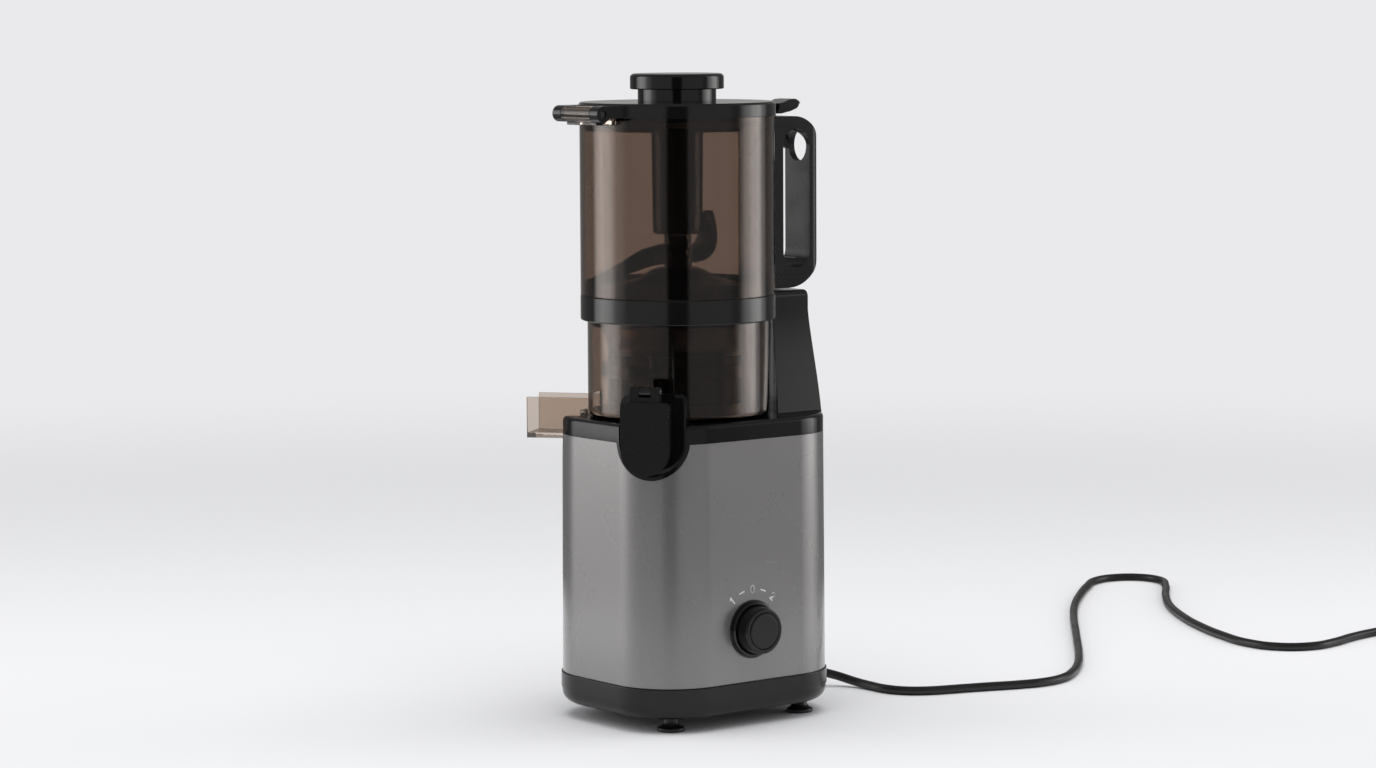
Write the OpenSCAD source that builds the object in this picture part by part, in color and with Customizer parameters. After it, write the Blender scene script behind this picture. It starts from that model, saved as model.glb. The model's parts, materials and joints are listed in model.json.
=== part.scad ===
// Upright slow juicer with a wide hopper, a tall motor base and a free mains lead.
// Most pieces are drawn about the turning axis of the auger.

/* [Motor base] */
// Width of the grey housing at its lower edge
housing_w = 145; // [140:1:160]
// Depth of the grey housing at its lower edge
housing_d = 176; // [170:1:190]
// Corner radius of the grey housing at its lower edge
housing_corner_r = 47; // [44:1:52]
// Height of the grey housing
housing_h = 172.5; // [168:0.5:190]
// Inward lean of the housing walls over their height
housing_lean = 1; // [0.5:0.5:2]
// Thickness of the housing walls
housing_wall = 2.5; // [2:0.1:3]
// How far the middle of the base lies behind the turning axis
base_shift = 13; // [11:1:15]
// Height of the black bottom cover
cover_h = 11; // [10.5:0.5:13]
// Height of the black band over the bottom cover
band_h = 11.5; // [10:0.5:14]
// How far the band and the cover stand proud of the housing
band_proud = 1.1; // [0.6:0.1:2]
// Rounding of the lower edge of the bottom cover
cover_edge_r = 9; // [6:0.5:10]
// Height of the black deck piece on top of the housing
collar_h = 13; // [12:0.5:15]
// Thickness of the deck plate
deck_t = 3; // [2.5:0.1:4]
// Rounding of the deck's upper edge
deck_edge_r = 3.5; // [2:0.5:4]

/* [Feet] */
// Height of the feet below the base
foot_h = 10; // [8:0.5:13]
// Radius of the wide flange of a foot
foot_flange_r = 9.8; // [9:0.1:11]
// Spacing of the feet, left to right
foot_span_x = 96; // [88:1:100]
// Spacing of the feet, front to back
foot_span_y = 118; // [108:1:122]

/* [Spouts] */
// Direction of the juice spout, round from the front
spout_angle = 38; // [36:1:42]
// Direction of the pulp trough, round from the front
trough_angle = -52; // [-56:1:-50]
// Radius of the round-bottomed recess below each spout
scoop_r = 27; // [26.6:0.1:28]
// Width of the pulp trough
trough_w = 34.5; // [32:0.5:36]
// Height of the pulp trough's walls
trough_h = 29.5; // [27:0.5:31]
// Thickness of the pulp trough's walls
trough_wall = 2.5; // [2:0.1:3]
// Distance of the trough's open end from the turning axis
trough_reach = 108.7; // [104:0.1:116]
// Half the width of the juice spout's plate
plate_half_w = 23.8; // [22.5:0.1:24]
// Width of the juice spout's flap
flap_w = 34; // [32:0.5:36]
// Height of the juice spout's flap
flap_h = 51.5; // [48:0.5:53]
// Thickness of the juice spout's flap
flap_t = 7; // [6:0.5:8]

/* [Juicing bowl] */
// Outer radius of the bowl
bowl_r = 65; // [64.6:0.1:65.2]
// Thickness of the bowl's wall
bowl_wall = 2.5; // [2:0.1:2.8]
// Height of the bowl from the deck to the lock ring
bowl_h = 69; // [67:0.5:72]
// Radius of the strainer's bore
strainer_bore_r = 46.2; // [46:0.1:46.6]
// Number of upright ribs round the strainer
strainer_ribs = 12; // [8:1:16]

/* [Hopper and lid] */
// Outer radius of the hopper
hopper_r = 69.7; // [69.4:0.1:70.2]
// Thickness of the hopper's wall
hopper_wall = 2.3; // [2:0.1:2.5]
// Height of the clear hopper above the lock ring
hopper_h = 127; // [124:1:136]
// Height of the black lock ring
ring_h = 18; // [17:0.5:20]
// Height of the dark band that stands inside the hopper's foot
ring_skirt_h = 9.8; // [8:0.1:10]
// Thickness of the lid's disc
lid_t = 10; // [9:0.5:12]
// Depth of the lid's skirt inside the hopper
lid_skirt_h = 10; // [9:0.5:12]
// Radius of the lid's feed neck
neck_r = 28; // [26:0.5:30]
// Height of the lid's feed neck
neck_h = 9; // [8:0.5:12]
// Radius of the bore that guides the pusher
feed_bore_r = 19.4; // [19.2:0.1:20]
// Furthest that the lid's hinge stands in front of the turning axis
hinge_reach = 85.2; // [84:0.1:88]
// Radius of the hinge's barrel
hinge_r = 5.75; // [5.25:0.05:6]

/* [Pusher] */
// Radius of the pusher's cap
cap_r = 33.5; // [31:0.5:36]
// Height of the pusher's cap
cap_h = 11; // [9:0.5:14]
// Radius of the pusher's rod at the top
rod_r = 18.6; // [18.2:0.1:18.8]
// How far the rod reaches below the neck's top
rod_reach = 103; // [96:1:103]

/* [Handle and post] */
// Width of the handle, left to right
handle_w = 28; // [26:1:30]
// Distance of the handle's outer face from the turning axis
handle_reach = 122; // [120:0.5:126]
// Thickness of the grip
grip_t = 10.7; // [10:0.1:12]
// Depth of the handle's root on the hopper
root_t = 16.8; // [16:0.1:18]
// Radius of the handle's outer corner at its top
handle_corner_r = 25; // [22:0.5:28]
// Radius of the handle's outer corner at its foot
handle_foot_r = 30; // [24:0.5:32]
// Half width of the post at its top
post_half_top = 25.5; // [23:0.5:28]
// Half width of the post where it meets the deck
post_half_foot = 46; // [42:0.5:48]

/* [Dial] */
// Radius of the dial's fixed rim
bezel_r = 19.6; // [18.6:0.1:21]
// Radius of the dial knob at its front
knob_r = 16.4; // [15.6:0.1:17]
// Height of the dial's middle above the underside
dial_h = 60; // [58:1:70]
// How far the dial's middle lies behind the turning axis
dial_y = 9; // [4:1:16]

/* [Auger and drive] */
// Outer radius of the auger's flights
flight_r = 44.8; // [44:0.1:45]
// Radius of the auger's core between the flights
core_r = 30; // [28:0.5:33]
// Turns of the flights over their height
flight_turns = 1.25; // [1:0.25:1.5]
// Radius of the drive shaft's round part
drive_r = 6; // [5.6:0.1:6.3]
// Distance between the gearbox's two axes
gear_centres = 42; // [41:1:43]
// Teeth of the motor pinion
pinion_teeth = 14; // [14:1:15]
// Teeth of the lay gear that the pinion drives
lay_teeth = 70; // [68:1:70]
// Teeth of the small lay gear
second_teeth = 12; // [12:1:13]
// Teeth of the output gear on the drive shaft
output_teeth = 44; // [43:1:44]
// Pressure angle of the teeth
pressure_angle = 25; // [22:1:26]
// Play between meshing teeth
backlash = 0.16; // [0.12:0.02:0.3]

/* [Mains lead] */
// Diameter of the mains lead
lead_d = 6.5; // [6:0.1:6.6]
// Length of the tapered sleeve behind the base
relief_l = 26; // [22:1:30]

/* [Hidden] */
$fn = 96;
hull_fn = 48;
// Overrun of every cut past the faces that it opens
cut = 1;
// Gap between fixed neighbours, between moving ones, and round a turning shaft
gap = 0.2;
free = 0.3;
run = 0.05;
black = [0.05, 0.05, 0.055];
smoke = [0.36, 0.28, 0.24, 0.55];
steel = [0.7, 0.7, 0.72];

// Heights of the main seams above the table
z_cover = foot_h;
z_band = z_cover + cover_h;
z_shell = z_band + band_h;
z_collar = z_shell + housing_h;
z_deck = z_collar + collar_h;
z_ring = z_deck + bowl_h;
z_hopper = z_ring + ring_h;
z_lid = z_hopper + hopper_h;
z_neck = z_lid + lid_t;
z_cap = z_neck + neck_h;
z_dial = z_cover + dial_h;

// Sizes of the base's walls and edges
deck_w = housing_w - 2 * housing_lean;
deck_d = housing_d - 2 * housing_lean;
deck_corner_r = housing_corner_r - housing_lean;
band_w = housing_w + 2 * band_proud;
band_d = housing_d + 2 * band_proud;
band_corner_r = housing_corner_r + band_proud;
lip_t = 2;
lip_h = 5;
collar_wall = housing_wall + gap + lip_t;
floor_t = 3;
seam = 0.6;

// Recesses below the spouts
scoop_back = bowl_r + cut;
scoop_rise = 2;
z_scoop = z_collar + scoop_rise;
liner_t = 2;

// The dial's reach and the part's origin, below the middle of everything but the lead
knob_stand = 10;
bezel_stand = 3.8;
dial_face_x = housing_w / 2 - housing_lean * (z_dial - z_shell) / housing_h;
dial_front_x = dial_face_x + bezel_stand + knob_stand;
trough_corner_x = trough_reach * sin(-trough_angle) + trough_w / 2 * cos(trough_angle);
mid_x = (dial_front_x - trough_corner_x) / 2;
relief_y = base_shift + band_d / 2 + gap;
mid_y = (max(handle_reach, relief_y + relief_l) - hinge_reach - hinge_r) / 2;

module about_drive() translate([-mid_x, -mid_y, 0]) children();
module toward(angle) rotate([0, 0, angle]) children();
module at_base_middle() translate([0, base_shift, 0]) children();
module about_dial(x) translate([x, dial_y, z_dial]) rotate([0, 90, 0]) children();
// Flat outline, drawn as seen from the front, made solid between two distances
module facing(near, far) translate([0, -near, 0]) rotate([90, 0, 0])
    linear_extrude(far - near) children();
// Flat outline, drawn as seen from the right, made solid across a width
module across(width) translate([-width / 2, 0, 0]) rotate([90, 0, 90])
    linear_extrude(width) children();
module box(x0, x1, y0, y1, z0, z1) translate([x0, y0, z0]) cube([x1 - x0, y1 - y0, z1 - z0]);
module tube(outer, inner, z0, z1) translate([0, 0, z0]) difference() {
    cylinder(r = outer, h = z1 - z0);
    translate([0, 0, -cut]) cylinder(r = inner, h = z1 - z0 + 2 * cut);
}
module post_at(x, y, r, z0, z1) translate([x, y, z0]) cylinder(r = r, h = z1 - z0);
// Rounded rectangle, made of true arcs
module plan(w, d, r) {
    square([w - 2 * r, d], center = true);
    square([w, d - 2 * r], center = true);
    for (sx = [-1, 1], sy = [-1, 1])
        translate([sx * (w / 2 - r), sy * (d / 2 - r)]) circle(r = r);
}
module at_corners(w, d, r) for (sx = [-1, 1], sy = [-1, 1])
    translate([sx * (w / 2 - r), sy * (d / 2 - r), 0]) children();
// Block whose walls lean inward from bottom to top
module leaning_block(w, d, r, lean, h) hull() at_corners(w, d, r)
    cylinder(r1 = r, r2 = r - lean, h = h, $fn = 2 * hull_fn);
function edge_arc(r, e, z, up) = [for (i = [0:5]) let (a = 18 * i)
    [r - e + e * cos(a), z + up * (e * sin(a) - e)]];
module round_topped_block(w, d, r, h, e) hull() at_corners(w, d, r)
    rotate_extrude($fn = hull_fn) polygon(concat([[0, 0], [r, 0]], edge_arc(r, e, h, 1), [[0, h]]));
module round_footed_block(w, d, r, h, e) hull() at_corners(w, d, r)
    rotate_extrude($fn = hull_fn) polygon(concat([[0, h], [r, h]], edge_arc(r, e, 0, -1), [[0, 0]]));
// Round-bottomed recess that opens upward, from its back wall outward
module scoop(r, back, top) {
    translate([0, -back, z_scoop]) rotate([90, 0, 0]) cylinder(r = r, h = housing_d);
    box(-r, r, -back - housing_d, -back, z_scoop, top);
}
module both_scoops(r, back, top) for (angle = [spout_angle, trough_angle])
    toward(angle) scoop(r, back, top);
module base_prism(w, d, r, inset, z0, z1) at_base_middle() translate([0, 0, z0])
    linear_extrude(z1 - z0) plan(w - 2 * inset, d - 2 * inset, r - inset);
module deck_prism(inset, z0, z1) base_prism(deck_w, deck_d, deck_corner_r, inset, z0, z1);
module band_prism(inset, z0, z1) base_prism(band_w, band_d, band_corner_r, inset, z0, z1);

// The grey housing, open above and below
module motor_housing() color([0.42, 0.42, 0.43]) about_drive() difference() {
    at_base_middle() translate([0, 0, z_shell]) difference() {
        leaning_block(housing_w, housing_d, housing_corner_r, housing_lean, housing_h);
        translate([0, 0, -cut]) leaning_block(housing_w - 2 * housing_wall,
            housing_d - 2 * housing_wall, housing_corner_r - housing_wall, housing_lean,
            housing_h + 2 * cut);
    }
    both_scoops(scoop_r, scoop_back, z_deck);
    about_dial(housing_w / 2 - housing_corner_r / 2) cylinder(r = bezel_r, h = housing_corner_r);
}

// The gearbox hangs from the deck on four bosses at these places
ear_x = 46;
ear_y = 21;
ear_r = 6;
case_up = 95.5;
z_case = z_shell + case_up;
case_h = 34;
z_case_top = z_case + case_h;
case_plate_t = 4;
bush_r = 10;
bush_wall = 4;
bush_h = 12;
seal_r = 13;
screw_r = 2;
screw_depth = 12;
module at_ears() for (sx = [-1, 1], sy = [-1, 1])
    translate([sx * ear_x, gear_centres / 2 + sy * ear_y, 0]) children();

// The black deck: lined recesses, a bearing tube and the gearbox bosses
wire_hole_r = 5;
z_deck_under = z_deck - deck_t;
module top_collar() color(black) about_drive() difference() {
    union() {
        difference() {
            union() {
                at_base_middle() translate([0, 0, z_collar])
                    round_topped_block(deck_w, deck_d, deck_corner_r, collar_h, deck_edge_r);
                intersection() {
                    deck_prism(0, z_collar, z_deck);
                    box(-post_half_foot, post_half_foot, post_back_y, deck_d, z_collar, z_deck);
                }
                deck_prism(housing_wall + gap, z_collar - lip_h, z_collar + cut);
            }
            deck_prism(collar_wall, z_collar - lip_h - cut, z_deck_under);
        }
        intersection() {
            deck_prism(0, z_scoop - scoop_r, z_deck - deck_edge_r);
            both_scoops(scoop_r - gap, scoop_back - liner_t, z_deck_under + gap);
        }
        post_at(0, 0, bush_r + bush_wall, z_deck_under - bush_h, z_deck_under + gap);
        at_ears() post_at(0, 0, ear_r, z_case_top, z_deck_under + gap);
    }
    both_scoops(scoop_r - gap - liner_t, scoop_back, z_deck + cut);
    post_at(0, 0, bush_r, z_deck_under - bush_h - cut, z_deck_under);
    post_at(0, 0, seal_r, z_deck_under - gap, z_deck + cut);
    at_ears() post_at(0, 0, screw_r + run, z_case_top - cut, z_case_top + screw_depth);
    post_at(0, wire_hole_y, wire_hole_r, z_deck_under - cut, z_deck + cut);
}

// The post behind the bowl: flared sides, hollow for the wires, topped by the handle's seat
post_gap = 1.3;
post_front_r = hopper_r + post_gap;
post_back_y = post_front_r * sin(45);
post_wall = 3;
post_corner_r = 5;
post_straight_h = 14;
handle_seat_gap = 1;
z_handle = z_hopper;
z_post = z_handle - handle_seat_gap;
wire_hole_y = (post_front_r + base_shift + deck_d / 2) / 2;
post_flare_share = 1.3;
flare_steps = 10;
function post_half(t) =
    post_half_top + (post_half_foot - post_half_top) * pow(1 - t, post_flare_share);
function post_side(inset, foot) = concat(
    [for (i = [0:flare_steps]) let (t = i / flare_steps) [post_half(t) - inset,
        i == 0 ? z_deck - foot : z_deck + t * (z_post - post_straight_h - z_deck)]],
    [for (a = [0:18:90]) [post_half_top - inset - post_corner_r + post_corner_r * cos(a),
        z_post - inset - post_corner_r + post_corner_r * sin(a)]]);
function mirrored(points) = [for (i = [len(points) - 1:-1:0]) [-points[i][0], points[i][1]]];
module post_form(inset, foot) intersection() {
    deck_prism(inset, z_deck - foot, z_post + cut);
    translate([0, deck_d, 0]) facing(0, deck_d)
        polygon(concat(post_side(inset, foot), mirrored(post_side(inset, foot))));
}
module rear_post() color(black) about_drive() difference() {
    post_form(0, 0);
    post_at(0, 0, post_front_r, z_deck - cut, z_post + cut);
    difference() {
        post_form(post_wall, cut);
        post_at(0, 0, post_front_r + post_wall, z_deck - 2 * cut, z_post + cut);
    }
}

// The black band below the housing, with the lip that the housing sits over
module base_band() color(black) about_drive() difference() {
    union() {
        band_prism(0, z_band, z_shell);
        base_prism(housing_w, housing_d, housing_corner_r, housing_wall + gap, z_band, z_shell + lip_h);
    }
    base_prism(housing_w, housing_d, housing_corner_r, collar_wall, z_band - cut, z_shell + lip_h + cut);
}

// The bottom cover, with air slots, foot sockets and the hole for the lead
foot_plug_r = 4;
slot_w = 3;
slot_l = 44;
slot_pitch = 8;
slot_count = 7;
exit_x = -24;
z_exit = z_cover + cover_h / 2;
relief_r = 4.7;
cover_screw_x = 26;
cover_screw_inset = 23.1;
cover_screw_y = band_d / 2 - cover_screw_inset;
// The front left foot stands further in than the others
foot_in_x = 8;
foot_in_y = 22;
module at_feet() for (sx = [-1, 1], sy = [-1, 1]) let (inner = sx + sy == -2 ? 1 : 0)
    translate([sx * foot_span_x / 2 + inner * foot_in_x,
        base_shift + sy * foot_span_y / 2 + inner * foot_in_y, 0]) children();
module at_cover_screws() for (sx = [-1, 1], sy = [-1, 1])
    translate([sx * cover_screw_x, base_shift + sy * cover_screw_y, 0]) children();
module bottom_cover() color(black) about_drive() difference() {
    at_base_middle() translate([0, 0, z_cover])
        round_footed_block(band_w - 2 * seam, band_d - 2 * seam, band_corner_r - seam, cover_h,
            cover_edge_r);
    band_prism(cover_edge_r + floor_t, z_cover + floor_t, z_band + cut);
    at_base_middle() for (i = [0:slot_count - 1]) let (y = (i - (slot_count - 1) / 2) * slot_pitch)
        box(-slot_l / 2, slot_l / 2, y - slot_w / 2, y + slot_w / 2, z_cover - cut,
            z_cover + floor_t + cut);
    at_feet() post_at(0, 0, foot_plug_r + run, z_cover - cut, z_band + cut);
    at_cover_screws() post_at(0, 0, screw_r + run, z_cover - cut, z_band + cut);
    translate([exit_x, base_shift, z_exit]) rotate([-90, 0, 0])
        cylinder(r = relief_r + run, h = housing_d);
}

// Rubber feet with a hollow underside, plugged into the cover
foot_neck_r = 5;
foot_dish_r = 7;
foot_dish_h = 1.2;
foot_shares = [[1, 0.22], [0.95, 0.29], [0.74, 0.38], [0.6, 0.52], [0.54, 0.7]];
module rubber_feet() color([0.03, 0.03, 0.03]) about_drive() at_feet() rotate_extrude()
    polygon(concat([[0, foot_dish_h], [foot_dish_r - foot_dish_h, foot_dish_h], [foot_dish_r, 0],
        [foot_flange_r - foot_dish_h / 2, 0], [foot_flange_r, foot_dish_h / 2]],
        [for (s = foot_shares) [foot_flange_r * s[0], foot_h * s[1]]],
        [[foot_neck_r, foot_h], [foot_plug_r, foot_h], [foot_plug_r, foot_h + floor_t],
            [0, foot_h + floor_t]]));

// Screws up through the bottom cover
screw_head_r = 3.5;
screw_head_h = 2;
module cover_screws() color(steel) about_drive() at_cover_screws() {
    post_at(0, 0, screw_head_r, z_cover - screw_head_h, z_cover);
    post_at(0, 0, screw_r, z_cover - cut, z_cover + floor_t);
}

// The dial's fixed rim, its switch, and the knob with its cap and spindle
bezel_flange = 1.3;
bezel_flange_t = 0.8;
bezel_wall = 1.8;
bezel_back_t = 1.4;
spindle_r = 3;
spindle_l = 24;
switch_t = 15;
switch_w = 30;
knob_gap = 0.6;
knob_bore_h = 7;
knob_back_r = bezel_r - bezel_wall - knob_gap;
knob_cap_r = 12.8;
knob_cap_t = 3;
knob_edge = 0.8;
knob_groove = 0.3;
knob_rim_drop = 0.4;
knob_front = bezel_stand + knob_stand;
knob_seat = knob_front - knob_cap_t;
knob_rim = knob_front - knob_rim_drop;
bezel_back = housing_wall + bezel_back_t;
module dial_bezel() color(black) about_drive() about_dial(dial_face_x) rotate_extrude()
    polygon([[spindle_r + knob_gap, -bezel_back], [bezel_r - gap, -bezel_back], [bezel_r - gap, gap],
        [bezel_r + bezel_flange, gap], [bezel_r + bezel_flange, bezel_flange_t],
            [bezel_r, bezel_flange_t],
        [bezel_r, bezel_stand - bezel_flange_t], [bezel_r - bezel_flange_t, bezel_stand],
        [bezel_r - bezel_wall, bezel_stand], [bezel_r - bezel_wall, -housing_wall],
        [spindle_r + knob_gap, -housing_wall]]);
module dial_knob() color(black) about_drive() about_dial(dial_face_x) difference() {
    rotate_extrude() polygon([[0, -housing_wall + free], [knob_back_r, -housing_wall + free],
        [knob_back_r, bezel_stand], [knob_r, knob_rim - knob_edge], [knob_r - knob_edge, knob_rim],
        [knob_cap_r + knob_groove, knob_rim], [knob_cap_r + knob_groove, knob_seat], [0, knob_seat]]);
    translate([0, 0, -housing_wall]) cylinder(r = spindle_r + run, h = knob_bore_h);
}
module dial_cap() color(black) about_drive() about_dial(dial_face_x) rotate_extrude()
    polygon([[0, knob_seat], [knob_cap_r, knob_seat], [knob_cap_r, knob_front - knob_gap],
        [knob_cap_r - knob_gap, knob_front], [0, knob_front]]);
module switch_spindle() color(steel) about_drive()
    about_dial(dial_face_x - housing_wall + knob_bore_h - spindle_l)
        cylinder(r = spindle_r, h = spindle_l);
module rotary_switch() color([0.15, 0.2, 0.35]) about_drive() difference() {
    box(dial_face_x - bezel_back - gap - switch_t, dial_face_x - bezel_back - gap, dial_y - switch_w / 2,
        dial_y + switch_w / 2, z_dial - switch_w / 2, z_dial + switch_w / 2);
    about_dial(dial_face_x - housing_w / 2) cylinder(r = spindle_r + run, h = housing_w / 2);
}

// The motor: stack, windings, end bracket, rotor, fan and their bearings
stator_w = 78;
stator_h = 40;
stator_bore_r = 21;
stator_corner = 33;
pillar_r = 5;
pillar_h = 28;
z_stator = z_case - pillar_h - stator_h;
winding_in_r = 23;
winding_out_r = 36;
winding_h = 12;
rotor_r = 20.4;
motor_shaft_r = 4;
bracket_drop = 18;
bracket_t = 3;
bracket_arm_w = 7;
bracket_lip = 1;
bearing_r = 8;
z_bracket = z_stator - bracket_drop;
fan_r = 34;
fan_hub_r = 9;
fan_h = 9;
fan_blades = 7;
fan_blade_t = 2;
fan_blade_lean = 12;
z_fan = z_bracket - fan_h - 2 * bracket_t;
module at_pillars() for (sx = [-1, 1], sy = [-1, 1])
    translate([sx * stator_corner, sy * stator_corner, 0]) children();
module motor_stator() color([0.5, 0.5, 0.52]) about_drive() difference() {
    translate([0, 0, z_stator]) linear_extrude(stator_h) plan(stator_w, stator_w, pillar_r);
    post_at(0, 0, stator_bore_r, z_stator - cut, z_stator + stator_h + cut);
}
module motor_windings() color([0.72, 0.4, 0.2]) about_drive()
    for (z = [z_stator - gap - winding_h, z_stator + stator_h + gap])
        tube(winding_out_r, winding_in_r, z, z + winding_h);
module motor_end_bracket() color([0.65, 0.65, 0.67]) about_drive() {
    translate([0, 0, z_bracket]) linear_extrude(bracket_t) difference() {
        union() {
            circle(r = bearing_r + bush_wall);
            for (a = [45, 135]) rotate(a)
                square([2 * stator_corner * sqrt(2), bracket_arm_w], center = true);
            at_pillars() circle(r = pillar_r + bracket_lip);
        }
        circle(r = bearing_r + run);
    }
    at_pillars() post_at(0, 0, pillar_r, z_bracket + bracket_t / 2, z_stator);
}
module motor_bearings() color([0.75, 0.62, 0.35]) about_drive() {
    tube(bearing_r, motor_shaft_r + run, z_bracket, z_bracket + bracket_t);
    tube(bearing_r, motor_shaft_r + run, z_case, z_case + case_plate_t);
}

// Involute teeth: the flank's half angle at a radius, then one tooth's outline
tooth_clearance_share = 0.2;
function involute(a) = tan(a) * 180 / PI - a;
function flank(r, pitch_r, teeth) = let (base_r = pitch_r * cos(pressure_angle))
    90 / teeth - backlash / 2 / pitch_r * 90 / PI + involute(pressure_angle)
    - involute(acos(min(1, base_r / r)));
function tooth(pitch_r, teeth, m, at) = let (
    base_r = pitch_r * cos(pressure_angle),
    root_r = pitch_r - m * (1 + tooth_clearance_share),
    low_r = max(root_r, base_r),
    radii = [for (i = [0:3]) low_r + (pitch_r + m - low_r) * i / 3],
    up = [for (r = radii) [r, at - flank(r, pitch_r, teeth)]],
    down = [for (i = [3:-1:0]) [radii[i], at + flank(radii[i], pitch_r, teeth)]],
    foot = flank(low_r, pitch_r, teeth),
    feet = root_r < low_r ? [[root_r, foot]] : [])
    [for (p = concat([for (f = feet) [f[0], at - f[1]]], up, down, [for (f = feet) [f[0], at + f[1]]]))
        [p[0] * cos(p[1]), p[0] * sin(p[1])]];
module gear(teeth, m, turned, z0, z1) translate([0, 0, z0]) linear_extrude(z1 - z0)
    polygon([for (i = [0:teeth - 1]) each tooth(m * teeth / 2, teeth, m, turned + 360 * i / teeth)]);

// Both pairs of gears span the same distance between axes
first_module = 2 * gear_centres / (pinion_teeth + lay_teeth);
second_module = 2 * gear_centres / (second_teeth + output_teeth);
gear_gap = 2;
first_face = 7;
second_face = 10;
z_first = z_case + case_plate_t + gear_gap;
z_second = z_first + first_face + gear_gap;
gear_hub_r = 12;
lay_pin_r = 4;
module motor_rotor() color(steel) about_drive() {
    post_at(0, 0, motor_shaft_r, z_fan, z_first + first_face);
    post_at(0, 0, rotor_r, z_stator, z_stator + stator_h);
    gear(pinion_teeth, first_module, 90, z_first, z_first + first_face);
}
module cooling_fan() color([0.85, 0.85, 0.82]) about_drive() difference() {
    union() {
        post_at(0, 0, fan_hub_r, z_fan, z_fan + fan_h);
        for (i = [0:fan_blades - 1]) rotate([0, 0, 360 * i / fan_blades]) rotate([fan_blade_lean, 0, 0])
            box(fan_hub_r - cut, fan_r, z_fan * sin(fan_blade_lean) - fan_blade_t / 2,
                z_fan * sin(fan_blade_lean) + fan_blade_t / 2, z_fan * cos(fan_blade_lean) + cut,
                z_fan * cos(fan_blade_lean) + fan_h - cut);
    }
    post_at(0, 0, motor_shaft_r + run, z_fan - cut, z_fan + fan_h + cut);
}
module lay_gear() color([0.8, 0.78, 0.7]) about_drive() translate([0, gear_centres, 0]) difference() {
    union() {
        gear(lay_teeth, first_module, 180 / lay_teeth - 90, z_first, z_first + first_face);
        gear(second_teeth, second_module, -90, z_first + first_face - gap, z_second + second_face + gap);
    }
    post_at(0, 0, lay_pin_r + run, z_first - cut, z_second + second_face + cut);
}
module output_gear() color([0.8, 0.78, 0.7]) about_drive() difference() {
    union() {
        gear(output_teeth, second_module, 90 + 180 / output_teeth, z_second, z_second + second_face);
        post_at(0, 0, gear_hub_r, z_second, z_case_top - case_plate_t - free);
    }
    post_at(0, 0, drive_r + run, z_second - cut, z_case_top);
}
module lay_pin() color(steel) about_drive() post_at(0, gear_centres, lay_pin_r, z_case, z_case_top);

// The gearbox: a case round both gears, hung from the deck, that carries the motor below
case_wall = 3;
tip_gap = 1.5;
module case_outline(grow) {
    circle(r = output_teeth * second_module / 2 + second_module + tip_gap + grow);
    translate([0, gear_centres]) circle(r = lay_teeth * first_module / 2 + first_module + tip_gap
        + grow);
}
module case_plan() {
    case_outline(case_wall);
    at_ears() circle(r = ear_r);
    translate([0, gear_centres / 2]) square([2 * ear_x, 2 * ear_y], center = true);
}
module gearbox_case() color([0.6, 0.6, 0.62]) about_drive() difference() {
    union() {
        translate([0, 0, z_case]) linear_extrude(case_h - case_plate_t) case_plan();
        translate([0, 0, z_case]) linear_extrude(case_plate_t) plan(stator_w, stator_w, pillar_r);
        at_pillars() post_at(0, 0, pillar_r, z_case - pillar_h, z_case + cut);
    }
    translate([0, 0, z_case + case_plate_t]) linear_extrude(case_h) case_outline(0);
    post_at(0, 0, bearing_r + run, z_case - cut, z_case + case_h);
    post_at(0, gear_centres, lay_pin_r + run, z_case - cut, z_case + case_h);
    at_ears() post_at(0, 0, screw_r + run, z_case - cut, z_case + case_h);
}
module gearbox_cover() color([0.6, 0.6, 0.62]) about_drive() difference() {
    translate([0, 0, z_case_top - case_plate_t]) linear_extrude(case_plate_t) case_plan();
    post_at(0, 0, bush_r + run, z_case, z_case_top + cut);
    post_at(0, gear_centres, lay_pin_r + run, z_case, z_case_top + cut);
    at_ears() post_at(0, 0, screw_r + run, z_case, z_case_top + cut);
}
module gearbox_screws() color(steel) about_drive() at_ears() {
    post_at(0, 0, screw_head_r, z_case - screw_head_h, z_case);
    post_at(0, 0, screw_r, z_case - cut, z_case_top + screw_depth - cut);
}

// The drive shaft, hexagonal where it enters the auger, with its bearings and seal
hex_flats = 10;
hex_h = 22;
hub_bore_r = 8;
hub_r = 11;
hub_h = 18;
z_hex = z_deck + hub_h + free;
z_drive_top = z_hex + hex_h;
module hexagon(flats, z0, z1) translate([0, 0, z0])
    cylinder(r = flats / 2 / cos(30), h = z1 - z0, $fn = 6);
module drive_shaft() color(steel) about_drive() {
    post_at(0, 0, drive_r, z_second, z_hex);
    hexagon(hex_flats, z_hex - cut, z_drive_top);
}
module drive_bearings() color([0.75, 0.62, 0.35]) about_drive() {
    tube(bush_r, drive_r + run, z_case_top - case_plate_t, z_case_top + case_plate_t);
    tube(bush_r - run, drive_r + run, z_deck_under - bush_h, z_deck_under - run);
}
module shaft_seal() color([0.25, 0.25, 0.26]) about_drive()
    tube(seal_r - run, drive_r + free, z_deck_under, z_deck - free);

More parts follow.
